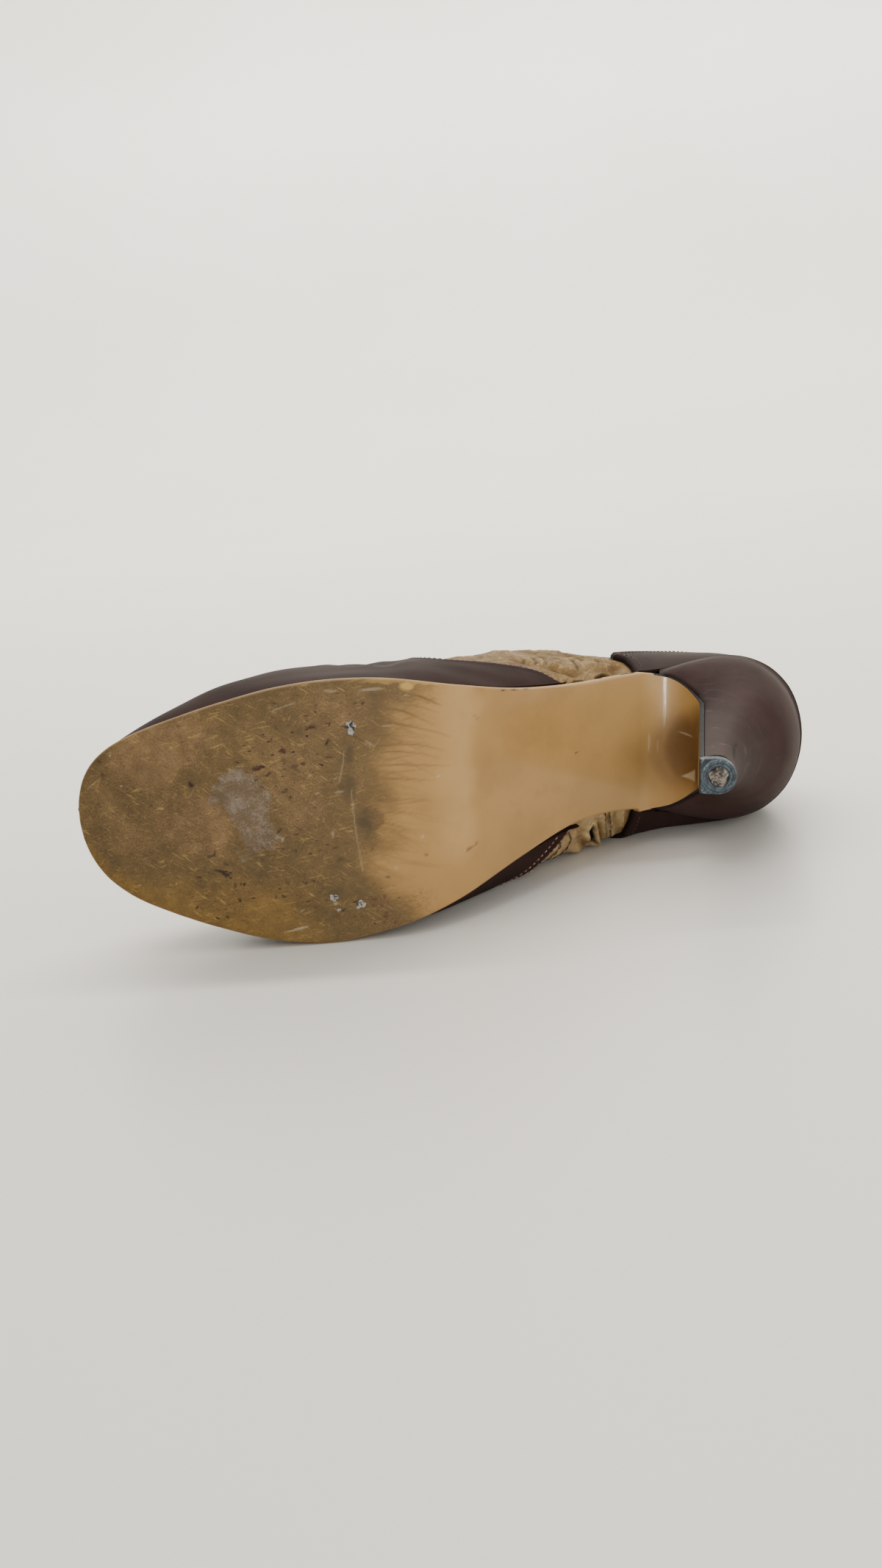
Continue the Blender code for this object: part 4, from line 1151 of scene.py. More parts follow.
def hair_lines():
    """Hair lines behind the ball: the long ones, then many short ones at random."""
    draw = np.random.default_rng(21)
    lines = list(HAIR_LINES)
    for _ in range(SHORT_HAIRS):
        start = (draw.normal(87.0, 3.5), draw.uniform(-27.0, 22.0))
        length = draw.uniform(4.0, 11.0)
        turn = draw.normal(-0.16, 0.22) - 0.012 * max(-start[1] - 8.0, 0.0)
        end = (start[0] + length * math.cos(turn), start[1] + length * math.sin(turn))
        lines.append((*start, *end, draw.normal(0.2, 0.4), draw.uniform(0.15, 0.5)))
    return lines


def hair_mark(u, bent):
    """Strength of the hair lines on the sole, from each point's station and its slightly bent place."""
    hair = np.zeros_like(u)
    t = np.linspace(0.0, 1.0, 9)[:, None]
    for u_0, y_0, u_1, y_1, bend, strength in hair_lines():
        straight = np.array([u_0, y_0]) * (1.0 - t) + np.array([u_1, y_1]) * t
        path = straight + np.array([0.0, bend]) * 4.0 * t * (1.0 - t)
        near = (u > u_0 - 2.0) & (u < u_1 + 2.0)
        fade = np.interp(u[near], (u_0, u_0 + 0.3 * (u_1 - u_0), u_1), (0.5, 1.0, 0.25))
        drawn = strength * fade * smooth(-line_distance(bent[near], path), -0.48, -0.06)
        hair[near] = np.maximum(hair[near], drawn)
    return hair


def sole_marks(u, y, edge_distance):
    """Wear of the sole's under face at each station and side, with a painted highlight across the bend and
    the shank.
    """
    wavy_u = u + 0.5 * ripple(u, y, 5.0, 3) + 0.3 * ripple(u, y, 2.2, 4)
    wavy_y = y + 0.5 * ripple(u, y, 5.0, 5) + 0.3 * ripple(u, y, 2.2, 6)
    sharp_u = u + 0.25 * ripple(u, y, 3.0, 7)
    sharp_y = y + 0.25 * ripple(u, y, 3.0, 8)
    bent = np.stack([u, y + 0.3 * ripple(u, y, 13.0, 9)], axis=-1)
    rear = np.interp(y, *np.array(WORN_EDGE).T)
    wavy = np.stack([wavy_u, wavy_y], axis=-1)
    reach = line_distance(wavy, BLOOM_LOOP + BLOOM_LOOP[:1])
    pit = blots(sharp_u, sharp_y, SOLE_PITS)
    for step in range(DOT_COUNT):
        away = np.hypot(u - DOT_FROM[0] - DOT_STEP[0] * step, y - DOT_FROM[1] - DOT_STEP[1] * step)
        pit = np.maximum(pit, 0.9 * smooth(-away, -0.34, -0.16))
    pale = blots(u, y, SOLE_PALE)
    for line in CRACK_LINES:
        pale = np.maximum(pale, 0.36 * smooth(-line_distance(bent, line), -0.34, -0.06))
    wave = ripple(u, y, 12.0, 16)
    # Painted highlight across the bend behind the ball
    band = smooth(u + wave, 97.0, 106.0) * smooth(-u - wave, -112.0, -107.0) * smooth(y, -34.0, -18.0)
    inner_rim = smooth(-edge_distance, -5.0, -0.5) * (smooth(-y, 14.0, 30.0) * smooth(-u, -70.0, -20.0))
    gold = inner_rim + 0.6 * smooth(-y, 22.0, 40.0) * smooth(-u, -85.0, -60.0)
    return {
        "worn": smooth(rear - u + 1.6 * ripple(u, y, 11.0, 11), -12.0, 10.0),
        "bloom": smooth(np.where(inside_loop(wavy, BLOOM_LOOP), reach, -reach), -2.0, 3.0),
        "pit": pit,
        "rust": blots(sharp_u, sharp_y, SOLE_RUST),
        "smudge": blots(wavy_u, wavy_y, SOLE_SMUDGES, SMUDGE_SPREAD),
        "pale": pale,
        "nicks": blots(wavy_u, wavy_y, NICK_ZONES),
        "yellow": blots(sharp_u, sharp_y, SOLE_YELLOW),
        "hair": hair_mark(u, bent),
        "band": np.maximum(band, 0.7 * smooth(u, 124.0, 148.0)),
        "warm": blots(wavy_u, wavy_y, WARM_ZONES),
        "gold": np.clip(gold, 0.0, 1.0),
    }


def flap_marks(run, side, edge_distance):
    """Wear of the breast flap at each run from the fold and side, with its painted highlight and painted
    shade.
    """
    spots = np.stack([run.ravel(), side.ravel()], axis=-1)
    reach = line_distance(spots, FLAP_CHIP + FLAP_CHIP[:1])
    reach = np.where(inside_loop(spots, FLAP_CHIP), reach, -reach)
    chip = smooth(reach, -0.3, 0.3).reshape(run.shape)
    # Outer half at the start of the fold, where the painted highlight lies
    lit = 1.0 - smooth(run, 0.0, 9.0) * smooth(-side, -8.0, 10.0)
    ink = smooth(-edge_distance, -0.55, -0.25)
    ink[:INK_FROM_ROW] = 0.0
    return {
        "pale": blots(run, side, FLAP_SCRATCHES) + chip,
        "yellow": 0.4 * chip,
        "band": 0.85 * lit * smooth(-run, -15.0, -5.0),
        "shade": blots(run, side, FLAP_PAINTED_SHADE),
        "gloss": 1.0 - smooth(run, 0.0, 4.0) * smooth(-side, -11.0, 0.0),
        "ink": ink,
    }


def flap_rows(shares, side, depth):
    """Points of the flap at shares of its length, at a side and a depth behind its face."""
    station, height = flap_point(shares, depth)
    return np.stack([-station, side, height], axis=-1)


def sole_edge(stations, shares, edge, half, turn):
    """Rows up one edge of the sole and the flap: turn is 1 on the outer side and -1 on the inner side."""
    rows = []
    for depth in EDGE_DEPTHS:
        low = np.full_like(stations, -SOLE_THICK - GAP + depth * SOLE_THICK)
        tuck = turn * 0.25 * max(depth - 0.8, 0.0) / 0.17
        sole_part = on_last(stations, edge - tuck, low)
        flap_part = flap_rows(shares, turn * half, depth * shown_thick(shares))
        rows.append(np.concatenate([sole_part, flap_part]))
    return np.stack(rows, axis=1)


def sole_back(stations, shares, inner, outer, half):
    """Rows over the hidden face of the sole and the flap, from the outer to the inner side."""
    rows = []
    for step in np.linspace(0.94, 0.06, 8):
        sole_part = on_last(stations, inner + (outer - inner) * step, np.full_like(stations, -GAP))
        flap_part = flap_rows(shares, half * (2.0 * step - 1.0), shown_thick(shares))
        rows.append(np.concatenate([sole_part, flap_part]))
    return np.stack(rows, axis=1)


class SHOE_OT_outsole(bpy.types.Operator):
    """Make the leather outsole with its breast flap and its wear"""

    bl_idname = "shoe.outsole"
    bl_label = "Outsole"

    def execute(self, context):
        sizes = context.scene.shoe_sizes
        columns = sizes.sole_columns
        stations, shares = sole_rows()
        sole_count = len(stations)
        t = np.linspace(0.0, 1.0, columns)
        across = t - 0.045 * np.sin(2.0 * math.pi * t)
        share = share_of(stations)
        outer = outline(share)[1]
        inner = outline(2.0 - share)[1]
        side = inner[:, None] + (outer - inner)[:, None] * across
        station = np.repeat(stations[:, None], columns, axis=1)
        flat = np.stack([station.ravel(), side.ravel()], axis=-1)
        near = line_distance(flat, np.stack(outline(np.linspace(0.0, 2.0, 900)[::3]), axis=-1))
        marks = sole_marks(flat[:, 0], flat[:, 1], near)
        sunk = 0.22 * marks["pit"] + 0.12 * marks["bloom"] + 0.12 * marks["rust"] + 0.06 * marks["hair"]
        rough = 0.05 * ripple(flat[:, 0], flat[:, 1], 7.0, 12) * marks["worn"]
        lift = round_edge(near, sizes.edge_radius / MM) + sunk + rough
        lower = on_last(station, side, -SOLE_THICK - GAP + lift.reshape(station.shape))
        half = curve(FLAP_WIDTHS, 1, shares)
        flap_side = half[:, None] * (2.0 * across - 1.0)
        flap_near = half[:, None] - np.abs(flap_side)
        flap_share = np.repeat(shares[:, None], columns, axis=1)
        face = np.concatenate([lower, flap_rows(flap_share, flap_side, round_edge(flap_near, FLAP_ROUND))])
        outer_edge = sole_edge(stations, shares, outer, half, 1.0)
        inner_edge = sole_edge(stations, shares, inner, half, -1.0)
        back = sole_back(stations, shares, inner, outer, half)
        rings = np.concatenate([face, outer_edge, back, inner_edge[:, ::-1]], axis=1)
        under = {name: values.reshape(station.shape) for name, values in marks.items()}
        # Painted shade of the fold, carried on from the breast onto the sole
        under["shade"] = blots(station - FOLD_FROM, side, FLAP_PAINTED_SHADE)
        under["edge"] = 0.7 * smooth(-near, -0.7, -0.15).reshape(station.shape)
        under["gloss"] = smooth(station, 104.0, 124.0)
        under["ink"] = np.zeros_like(station)
        breast = flap_marks(flap_share * FLAP_LENGTH, flap_side, flap_near)
        layers = {}
        for name, values in under.items():
            layers[name] = np.zeros(rings.shape[:2])
            layers[name][:sole_count, :columns] = values
            layers[name][sole_count:, :columns] = breast.get(name, 0.0)
        layers["edge"][:sole_count, columns:] = 1.0
        waist = smooth(stations, 134.0, 140.0) * (ripple(stations, stations * 0.0, 6.0, 15) > 0.25)
        layers["ink"][:sole_count, columns:] = 0.9 * waist[:, None]
        layers["ink"][sole_count + INK_FROM_ROW:, columns:] = 1.0
        points, quads = tube(rings, True)
        finish = sole_finish(context.scene.shoe_colours)
        add_piece("outsole_leather", points, quads, finish, ["outsole"], layers)
        return {"FINISHED"}


class SHOE_OT_sole_nails(bpy.types.Operator):
    """Make the worn metal heads in the tread"""

    bl_idname = "shoe.sole_nails"
    bl_label = "Sole nails"

    def execute(self, context):
        turns = np.linspace(0.0, 2.0 * math.pi, NAIL_POINTS, endpoint=False)
        heads = []
        for number, (u, y, long, wide, turn) in enumerate(SOLE_NAILS):
            angle = math.radians(turn)
            ragged = 1.0 + 0.16 * np.sin(3 * turns + number) + 0.13 * np.sin(5 * turns + 2 * number + 1)
            rings = []
            for reach, height in NAIL_HEAD:
                along = long * reach * ragged * np.cos(turns)
                over = wide * reach * ragged * np.sin(turns)
                at_u = u + along * math.cos(angle) - over * math.sin(angle)
                at_y = y + along * math.sin(angle) + over * math.cos(angle)
                dents = 0.1 * ripple(at_u, at_y, 1.1, 31 + number)
                rings.append(on_last(at_u, at_y, -SOLE_THICK - GAP + height + dents))
            heads.append(tube(rings, True))
        points, quads = join_bodies(heads)
        finish = steel_finish("nail_steel", 0.06, srgb(190, 184, 176))
        add_piece("sole_nails", points, quads, finish, [])
        return {"FINISHED"}


def seat_flare(ring, share):
    """Ring of the heel carried out to meet the counter, most at the back."""
    out = ring - ring.mean(axis=0)
    out[:, 2] = 0.0
    out /= np.linalg.norm(out, axis=1, keepdims=True)
    return ring + out * (share * SEAT_SPREAD * smooth(-ring[:, 0], 166.0, 192.0))[:, None]


def heel_rings():
    """Rings of the heel from its tip up to the fold of the sole."""
    rings = []
    for share in np.linspace(1.0, HEEL_TOP_SHARE, HEEL_RINGS):
        length = float(curve(HEEL_SECTIONS, 1, share))
        widest = float(curve(HEEL_SECTIONS, 2, share))
        front_half = float(curve(FLAP_WIDTHS, 1, share))
        station, height = flap_point(share, float(shown_thick(share)) + HEEL_GAP)
        run, half = both_sides(*half_section(front_half, max(widest, front_half), length, HEEL_POINTS))
        follow = min(max((0.3 - share) / 0.2, 0.0), 1.0)
        rise = follow * (profile(station + run) - profile(station))
        ring = np.stack([-(station + run), half, height + rise], axis=-1)
        rings.append(seat_flare(ring, float(smooth(-share, -0.36, -0.06))))
    return rings


def seat_rim(front):
    """Loop round the heel's seat at the upper, back from a station."""
    back = 1.0 - (1.0 - np.linspace(0.0, 1.0, HEEL_POINTS)) ** 2
    seat = front + back * (SHOE_LENGTH - front)
    seat, side = both_sides(seat, curve(OUTLINE_RING, 1, share_of(seat)))
    return seat_flare(on_last(seat, side, np.full_like(seat, -GAP)), 1.0)


def eased_seat(rings):
    """Rings of the heel with the back of the seat smoothed from ring to ring."""
    ease = 0.5 * smooth(-rings[1:-1], 168.0, 182.0)[:, :, :1]
    ease = ease * smooth(np.arange(len(rings) - 2), 78.0, 96.0)[:, None, None]
    eased = rings.copy()
    for _ in range(SEAT_PASSES):
        eased[1:-1] += ease * ((eased[:-2] + eased[2:]) / 2.0 - eased[1:-1])
    return eased


class SHOE_OT_heel(bpy.types.Operator):
    """Make the covered heel"""

    bl_idname = "shoe.heel"
    bl_label = "Heel"

    def execute(self, context):
        rings = heel_rings()
        last = rings[-1]
        rim = seat_rim(-last[0, 0])
        rings += [last + (rim - last) * step for step in np.linspace(0.0, 1.0, SEAT_RINGS)[1:-1]]
        middle = rim.mean(axis=0)
        lips = [rim + (middle - rim) * pull - np.array([0.0, 0.0, drop]) for pull, drop in SEAT_LIP]
        rings = np.concatenate([eased_seat(np.array(rings)), lips])
        points, quads = tube(rings, True)
        x, y, z = points.T
        seams = np.zeros(rings.shape[:2])
        seams[:, [0, -1]] = 0.9
        seams[-2:] = 0.9
        nick = blots(np.arctan2(y, -x - NICK_AXIS) * NICK_RADIUS, z, HEEL_NICKS)
        marks = {"edge": np.maximum(seams.ravel(), nick)}
        arcs = (-TIP_STATION - SCRATCH_CENTRE[0], SCRATCH_CENTRE[1], 0.0)
        finish = brown_finish("heel_cover", tuple(context.scene.shoe_colours.heel), 0.52, 0.04, arcs)
        add_piece("heel_cover", points, quads, finish, ["heel"], marks)
        return {"FINISHED"}


def tip_body():
    """Points and quads of the top piece with the bore for its pin."""
    run, half = both_sides(*half_section(TIP_FRONT_HALF, TIP_WIDEST_HALF, TIP_LENGTH, TIP_POINTS))
    flat = np.linspace(half[-1], half[0], 21)[1:-1]
    station = TIP_STATION + np.concatenate([run, np.zeros_like(flat)])
    ring = np.stack([-station, np.concatenate([half, flat])], axis=-1)
    spoke = ring - PIN_PLACE
    reach = np.linalg.norm(spoke, axis=1, keepdims=True)
    spoke = spoke / reach
    bore = PIN_RADIUS + PIN_PLAY
    rings = []
    for share, height in TIP_LEVELS:
        loop = PIN_PLACE + spoke * (bore + (reach - bore) * share)
        worn = 0.0
        if 0.0 < share < 0.98 and height < 1.0:
            worn = 0.14 * ripple(loop[:, 0], loop[:, 1], 3.0, 41)
        rings.append(np.column_stack([loop, np.full(len(loop), height) + worn]))
    points, quads = tube(rings, False)
    first = np.arange(len(ring))
    last = first + (len(rings) - 1) * len(ring)
    top = np.stack([last, np.roll(last, -1), np.roll(first, -1), first], axis=-1)
    return points, np.concatenate([quads, top])


def pin_body():
    """Points and quads of the pin with its worn head."""
    turn = np.linspace(0.0, 2.0 * math.pi, PIN_POINTS, endpoint=False)
    circle = np.stack([np.cos(turn), np.sin(turn)], axis=-1)
    ragged = 0.06 * np.sin(3.0 * turn + 1.0) + 0.05 * np.sin(5.0 * turn)
    rings = []
    for reach, height in PIN_HEAD:
        worn = height < 0.1
        loop = PIN_PLACE + circle * (PIN_RADIUS * reach * (1.0 + ragged * worn))[:, None]
        dents = 0.22 * ripple(loop[:, 0], loop[:, 1], 2.0, 43) * worn
        rings.append(np.column_stack([loop, np.full(PIN_POINTS, height) + dents]))
    return tube(rings, True)


class SHOE_OT_heel_tip(bpy.types.Operator):
    """Make the worn top piece"""

    bl_idname = "shoe.heel_tip"
    bl_label = "Heel tip"

    def execute(self, context):
        points, quads = tip_body()
        marks = {"edge": smooth(points[:, 0], -TIP_STATION - 0.5, -TIP_STATION - 0.1)}
        finish = rubber_finish(context.scene.shoe_colours, (*PIN_PLACE, 0.0))
        add_piece("top_piece_rubber", points, quads, finish, ["top_piece"], marks)
        return {"FINISHED"}


class SHOE_OT_heel_pin(bpy.types.Operator):
    """Make the pin in the top piece"""

    bl_idname = "shoe.heel_pin"
    bl_label = "Heel pin"

    def execute(self, context):
        points, quads = pin_body()
        finish = steel_finish("pin_steel", 0.04, srgb(158, 148, 136))
        add_piece("heel_pin_steel", points, quads, finish, ["heel_pin"])
        return {"FINISHED"}


WING_OUTER = float(share_of(VAMP_OUTER[-1][0]))
WING_INNER = -float(share_of(VAMP_INNER[-1][0]))
COUNTER_START = float(share_of(COUNTER_FRONT))


def vamp_top(place):
    """Share up of the vamp's top edge at a place counted from the toe, below zero on the inner side."""
    station = station_of(np.abs(place))
    return np.where(place < 0.0, curve(VAMP_INNER, 1, station), curve(VAMP_OUTER, 1, station))


def counter_top(place):
    """Share up of the counter's top edge at a place."""
    along = (1.0 - np.abs(place - 1.0) - COUNTER_START) / (1.0 - COUNTER_START)
    return curve(COUNTER_EDGE, 1, np.clip(along, 0.0, 1.0))


def no_lean(place, up):
    return np.zeros_like(place)


def counter_lean(place, up):
    """Step in place that leans the counter's front edges forward, fading out towards the back."""
    run = np.interp(up, *np.array(COUNTER_LEAN).T)
    forward = COUNTER_START - share_of(COUNTER_FRONT - run)
    front = smooth(np.abs(place - 1.0), 0.6 * (1.0 - COUNTER_START), 1.0 - COUNTER_START)
    return np.sign(place - 1.0) * forward * front


def edge_path(top, lean, start, end, count):
    """Overlay's edge as places and shares up: up its first end, along its top and down its last end."""
    places = np.linspace(start, end, count)
    tops = top(places)
    rise = np.linspace(OVERLAY_FOOT, tops[0], END_POINTS + 1)[:-1]
    fall = np.linspace(tops[-1], OVERLAY_FOOT, END_POINTS + 1)[1:]
    places = np.concatenate([np.full(END_POINTS, start), places, np.full(END_POINTS, end)])
    ups = np.concatenate([rise, tops, fall])
    return places + lean(places, ups), ups


def vamp_edge(count):
    return edge_path(vamp_top, no_lean, WING_INNER, WING_OUTER, count)


def counter_edge(count):
    return edge_path(counter_top, counter_lean, COUNTER_START, 2.0 - COUNTER_START, count)


def moved_in(places, ups, distance):
    """Path on the upper moved square to itself by a distance, to its right as seen from outside."""
    point, along, rise, normal = upper_frame(places, ups)
    run = np.gradient(point, axis=0)
    run /= np.maximum(np.linalg.norm(run, axis=1, keepdims=True), 1e-9)
    inward = np.cross(run, normal) * np.broadcast_to(distance, places.shape)[:, None]
    grid = np.stack([along, rise], axis=-1)
    step = np.einsum("nij,nj->ni", np.linalg.pinv(grid), inward)
    return places + step[:, 0], ups + step[:, 1]


def fold_path(side, station_0, up_0, station_1, up_1, bend):
    """Line of a fold on the upper, as points."""
    t = np.linspace(0.0, 1.0, 14)
    places = place_of(side, station_0 + (station_1 - station_0) * t)
    return upper_point(places, up_0 + (up_1 - up_0) * t + bend * 4.0 * t * (1.0 - t))


def fold_field(points, table):
    """Troughs and ridges of a table of folds at points on the upper, and how near each point is to one."""
    total = np.zeros(len(points))
    closest = np.zeros(len(points))
    for *line, depth, width in table:
        path = fold_path(*line)
        near = np.linalg.norm(points[:, None, :] - path[None, ::3, :], axis=2).min(axis=1) < FOLD_REACH
        reach = line_distance(points[near], path)
        middle = path[len(path) // 2]
        half = max(np.linalg.norm(path[-1] - path[0]) * 0.5, 1.0)
        fade = smooth(-np.linalg.norm(points[near] - middle, axis=1), -1.25 * half, -0.6 * half)
        shape = np.exp(-((reach / width) ** 2)) - 0.38 * np.exp(-(((reach - 1.9 * width) / width) ** 2))
        total[near] -= depth * shape * fade
        closest[near] = np.maximum(closest[near], np.exp(-((reach / (0.75 * width)) ** 2)) * fade)
    return total, closest


def lump_field(points):
    """Soft swellings at points on the upper."""
    total = np.zeros(len(points))
    for side, station, up, radius, height in LUMPS:
        middle = upper_point(np.array([float(place_of(side, station))]), np.array([up]))[0]
        total += height * np.exp(-((np.linalg.norm(points - middle, axis=1) / radius) ** 2))
    return total


def tear_field(points):
    """Torn holes, 1 inside and 0 away from them, and their rolled rims."""
    most = np.zeros(len(points))
    rim = np.zeros(len(points))
    for *line, width in TEARS:
        reach = line_distance(points, fold_path(*line))
        ragged = 0.18 * ripple(points[:, 2], points[:, 0], 2.4, 55)
        most = np.maximum(most, smooth(-reach + ragged, -width * 1.45, -width * 0.75))
        rim = np.maximum(rim, np.exp(-(((reach - 2.1 * width) / (0.6 * width)) ** 2)))
    return most, rim


def seam_path(line):
    """Places and shares up along a seam of the inner side."""
    drawn = np.array(line)
    steps = np.linspace(0.0, len(line) - 1.0, 60)
    station, up = (np.interp(steps, np.arange(len(line)), drawn[:, k]) for k in (0, 1))
    return 2.0 - share_of(station), up


def upper_places():
    """Places round the upper, closest where the tan leather shows."""
    outer = np.concatenate([
        share_of(np.linspace(0.0, 8.0, 10)), share_of(np.linspace(8.0, 96.0, 40))[1:],
        share_of(np.linspace(96.0, 158.0, 124))[1:], share_of(np.linspace(158.0, 204.0, 30))[1:],
        share_of(np.linspace(204.0, 210.0, 9))[1:],
    ])
    return np.concatenate([outer, 2.0 - outer[::-1][1:-1]])


def held_off_floor(points, normal, lift):
    """Lift of a skin along its normal, cut short where it would go under the floor."""
    tilt = over_floor(normal)
    over = over_floor(points + normal * lift[:, None]) - FLOOR
    sunk = np.minimum(over - FLOOR_PLAY, 0.0)
    return lift + np.where(tilt < -0.25, -sunk / np.minimum(tilt, -0.25), 0.0)


class SHOE_OT_upper(bpy.types.Operator):
    """Make the soft tan upper with its folds, tooled strokes and tears"""

    bl_idname = "shoe.upper"
    bl_label = "Tan upper"

    def execute(self, context):
        rows = np.concatenate([np.linspace(0.0, 0.52, 74), np.linspace(0.52, 1.0, 30)[1:]])
        places, ups = np.meshgrid(upper_places(), rows, indexing="ij")
        base, _, _, normal = upper_frame(places, ups)
        points = base.reshape(-1, 3)
        normal = normal.reshape(-1, 3)
        up = ups.ravel()
        signed = np.where(places > 1.0, places - 2.0, places)
        covered = (signed > WING_INNER) & (signed < WING_OUTER) & (ups < vamp_top(signed))
        back = places - counter_lean(places, ups)
        covered |= (np.abs(back - 1.0) < 1.0 - COUNTER_START) & (ups < counter_top(places))
        covered = covered.ravel()
        vamp_line = upper_point(*vamp_edge(160))
        counter_line = upper_point(*counter_edge(120))
        reach = np.minimum(line_distance(points, vamp_line), line_distance(points, counter_line))
        open_skin = np.where(covered, 0.0, smooth(reach, 0.3, 3.5))
        grip = smooth(up, 0.0, 0.03) * smooth(-up, -1.0, -0.93)
        folds = context.scene.shoe_sizes.fold_depth * fold_field(points, FOLDS)[0]
        tooled, groove = fold_field(points, GROOVES)
        groove = np.where(covered, 0.0, groove)
        crumple = 0.16 * ripple(points[:, 0] + points[:, 1], points[:, 2], 7.0, 51)
        crumple += 0.12 * ripple(points[:, 0] - points[:, 1], points[:, 2] * 1.3, 3.6, 52)
        torn, torn_rim = tear_field(points)
        for line in DARK_SEAMS:
            seam = upper_point(*seam_path(line))
            groove = np.maximum(groove, 0.9 * smooth(-line_distance(points, seam), -0.55, -0.15))
        bead = 0.55 * np.exp(-(((1.0 - up) * 110.0 - 1.6) / 1.3) ** 2)
        lift = open_skin * (grip * (folds + lump_field(points) + crumple) + tooled + 0.35 * torn_rim)
        lift = held_off_floor(points, normal, lift + bead - TEAR_DEPTH * torn)
        outer = points + normal * lift[:, None]
        inner = points + normal * (np.minimum(lift, 0.0) * 0.8 - TAN_THICK)[:, None]
        made, quads = shell(outer.reshape(base.shape), inner.reshape(base.shape), True)
        # Lower inner side and tear rims lightened: painted light on the side near the floor, and wear
        pale_wear_and_painted_light = np.where(places.ravel() > 1.0, 0.85, 0.0) * smooth(-up, -0.4, -0.25) + 0.5 * torn_rim
        shown = {
            "trough": np.clip(-(folds + crumple) * 0.8, 0.0, 1.0) * open_skin,
            "ridge": np.clip((folds + crumple) * 0.55 - 0.1 + pale_wear_and_painted_light, 0.0, 1.0) * open_skin,
            "groove": groove,
            # Painted shade along the overlays' edges and at the foot by the sole, with grime
            "dirt": np.where(covered, 1.0, smooth(-reach, -0.9, 0.0)) + 0.4 * smooth(-up, -0.02, 0.0),
            "hole": torn,
        }
        marks = {name: np.concatenate([values, values]) for name, values in shown.items()}
        finish = tan_finish(context.scene.shoe_colours)
        add_piece("tan_upper", made, quads, finish, ["upper"], marks, 70.0)
        return {"FINISHED"}


class SHOE_OT_lining(bpy.types.Operator):
    """Make the lining inside the upper"""

    bl_idname = "shoe.lining"
    bl_label = "Lining"

    def execute(self, context):
        places, ups = np.meshgrid(upper_places()[::3], np.linspace(0.0, 0.992, 44), indexing="ij")
        base, _, _, normal = upper_frame(places, ups)
        folds = context.scene.shoe_sizes.fold_depth * fold_field(base.reshape(-1, 3), FOLDS)[0]
        dent = np.minimum(folds.reshape(ups.shape), 0.0) * 0.8 * smooth(ups, 0.0, 0.1)
        faces = [base + normal * (dent - depth)[..., None] for depth in (LINING_DEPTH, WALL)]
        points, quads = shell(*faces, True)
        # Darker towards the sole
        dirt = smooth(-ups.ravel(), -0.35, 0.0)
        marks = {"dirt": np.concatenate([dirt, dirt])}
        finish = lining_finish(context.scene.shoe_colours)
        add_piece("shoe_lining", points, quads, finish, [], marks, 70.0)
        return {"FINISHED"}


def overlay_body(places, top, lean, columns, swell):
    """Overlay over a run of places: points, quads and distance in from its edge."""
    rise = curve(UPPER_TABLES["up_0"], 1, np.mod(places, 2.0))
    foot = np.full_like(places, OVERLAY_FOOT)
    step = OVERLAY_GAP + OVERLAY_THICK
    for _ in range(FOOT_PASSES):
        base, _, _, normal = upper_frame(places, foot)
        low = base + normal * step
        foot = foot + np.maximum(profile(-low[:, 0]) - low[:, 2], 0.0) / rise
    tops = np.maximum(top(places), foot + 0.004)
    t = np.linspace(0.0, 1.0, columns)
    share = t + 0.06 * np.sin(2.0 * math.pi * t)
    ups = foot[:, None] + (tops - foot)[:, None] * share[None, :]
    grid = np.repeat(places[:, None], columns, axis=1)
    grid = grid + lean(grid, ups)
    base, _, _, normal = upper_frame(grid, ups)
    line = upper_point(*edge_path(top, lean, places[0], places[-1], 220))
    reach = line_distance(base.reshape(-1, 3), line).reshape(ups.shape)
    height = step - round_edge(reach, OVERLAY_ROUND) + 0.14 * np.exp(-((reach - 1.9) ** 2))
    height += swell(base) * smooth(reach, 4.0, 11.0)
    flat = (base.reshape(-1, 3), normal.reshape(-1, 3), height.ravel())
    height = held_off_floor(*flat).reshape(height.shape)
    inner = np.minimum(0.12 + 0.4 * smooth(reach, 0.0, 2.0), height - 0.25)
    points, quads = shell(base + normal * height[..., None], base + normal * inner[..., None], False)
    return points, quads, np.concatenate([reach.ravel(), reach.ravel()])


def counter_swell(base):
    return 0.1 * ripple(base[..., 0], base[..., 1] + base[..., 2], 16.0, 61)


def vamp_swell(base):
    creases = fold_field(base.reshape(-1, 3), VAMP_CREASES)[0].reshape(base.shape[:-1])
    return 0.12 * ripple(base[..., 0], base[..., 1] + base[..., 2], 14.0, 62) + np.maximum(creases, -0.9)


class SHOE_OT_vamp(bpy.types.Operator):
    """Make the dark vamp overlay with its wings"""

    bl_idname = "shoe.vamp"
    bl_label = "Vamp"

    def execute(self, context):
        inner = np.linspace(WING_INNER, -TOE_REACH, 150)[:-1]
        toe = np.linspace(-TOE_REACH, TOE_REACH, 90)
        outer = np.linspace(TOE_REACH, WING_OUTER, 150)[1:]
        places = np.concatenate([inner, toe, outer])
        points, quads, reach = overlay_body(places, vamp_top, no_lean, 64, vamp_swell)
        marks = {"edge": smooth(-reach, -0.8, -0.1)}
        finish = brown_finish("vamp_leather", tuple(context.scene.shoe_colours.brown), 0.58, 0.03, None)
        add_piece("vamp_leather", points, quads, finish, ["vamp"], marks, 60.0)
        return {"FINISHED"}


class SHOE_OT_counter(bpy.types.Operator):
    """Make the dark counter overlay round the heel"""

    bl_idname = "shoe.counter"
    bl_label = "Counter"

    def execute(self, context):
        places = np.linspace(COUNTER_START, 2.0 - COUNTER_START, 260)
        points, quads, reach = overlay_body(places, counter_top, counter_lean, 60, counter_swell)
        marks = {"edge": smooth(-reach, -1.3, -0.2)}
        finish = brown_finish("counter_leather", tuple(context.scene.shoe_colours.brown), 0.58, 0.05, None)
        add_piece("counter_leather", points, quads, finish, ["counter"], marks, 60.0)
        return {"FINISHED"}


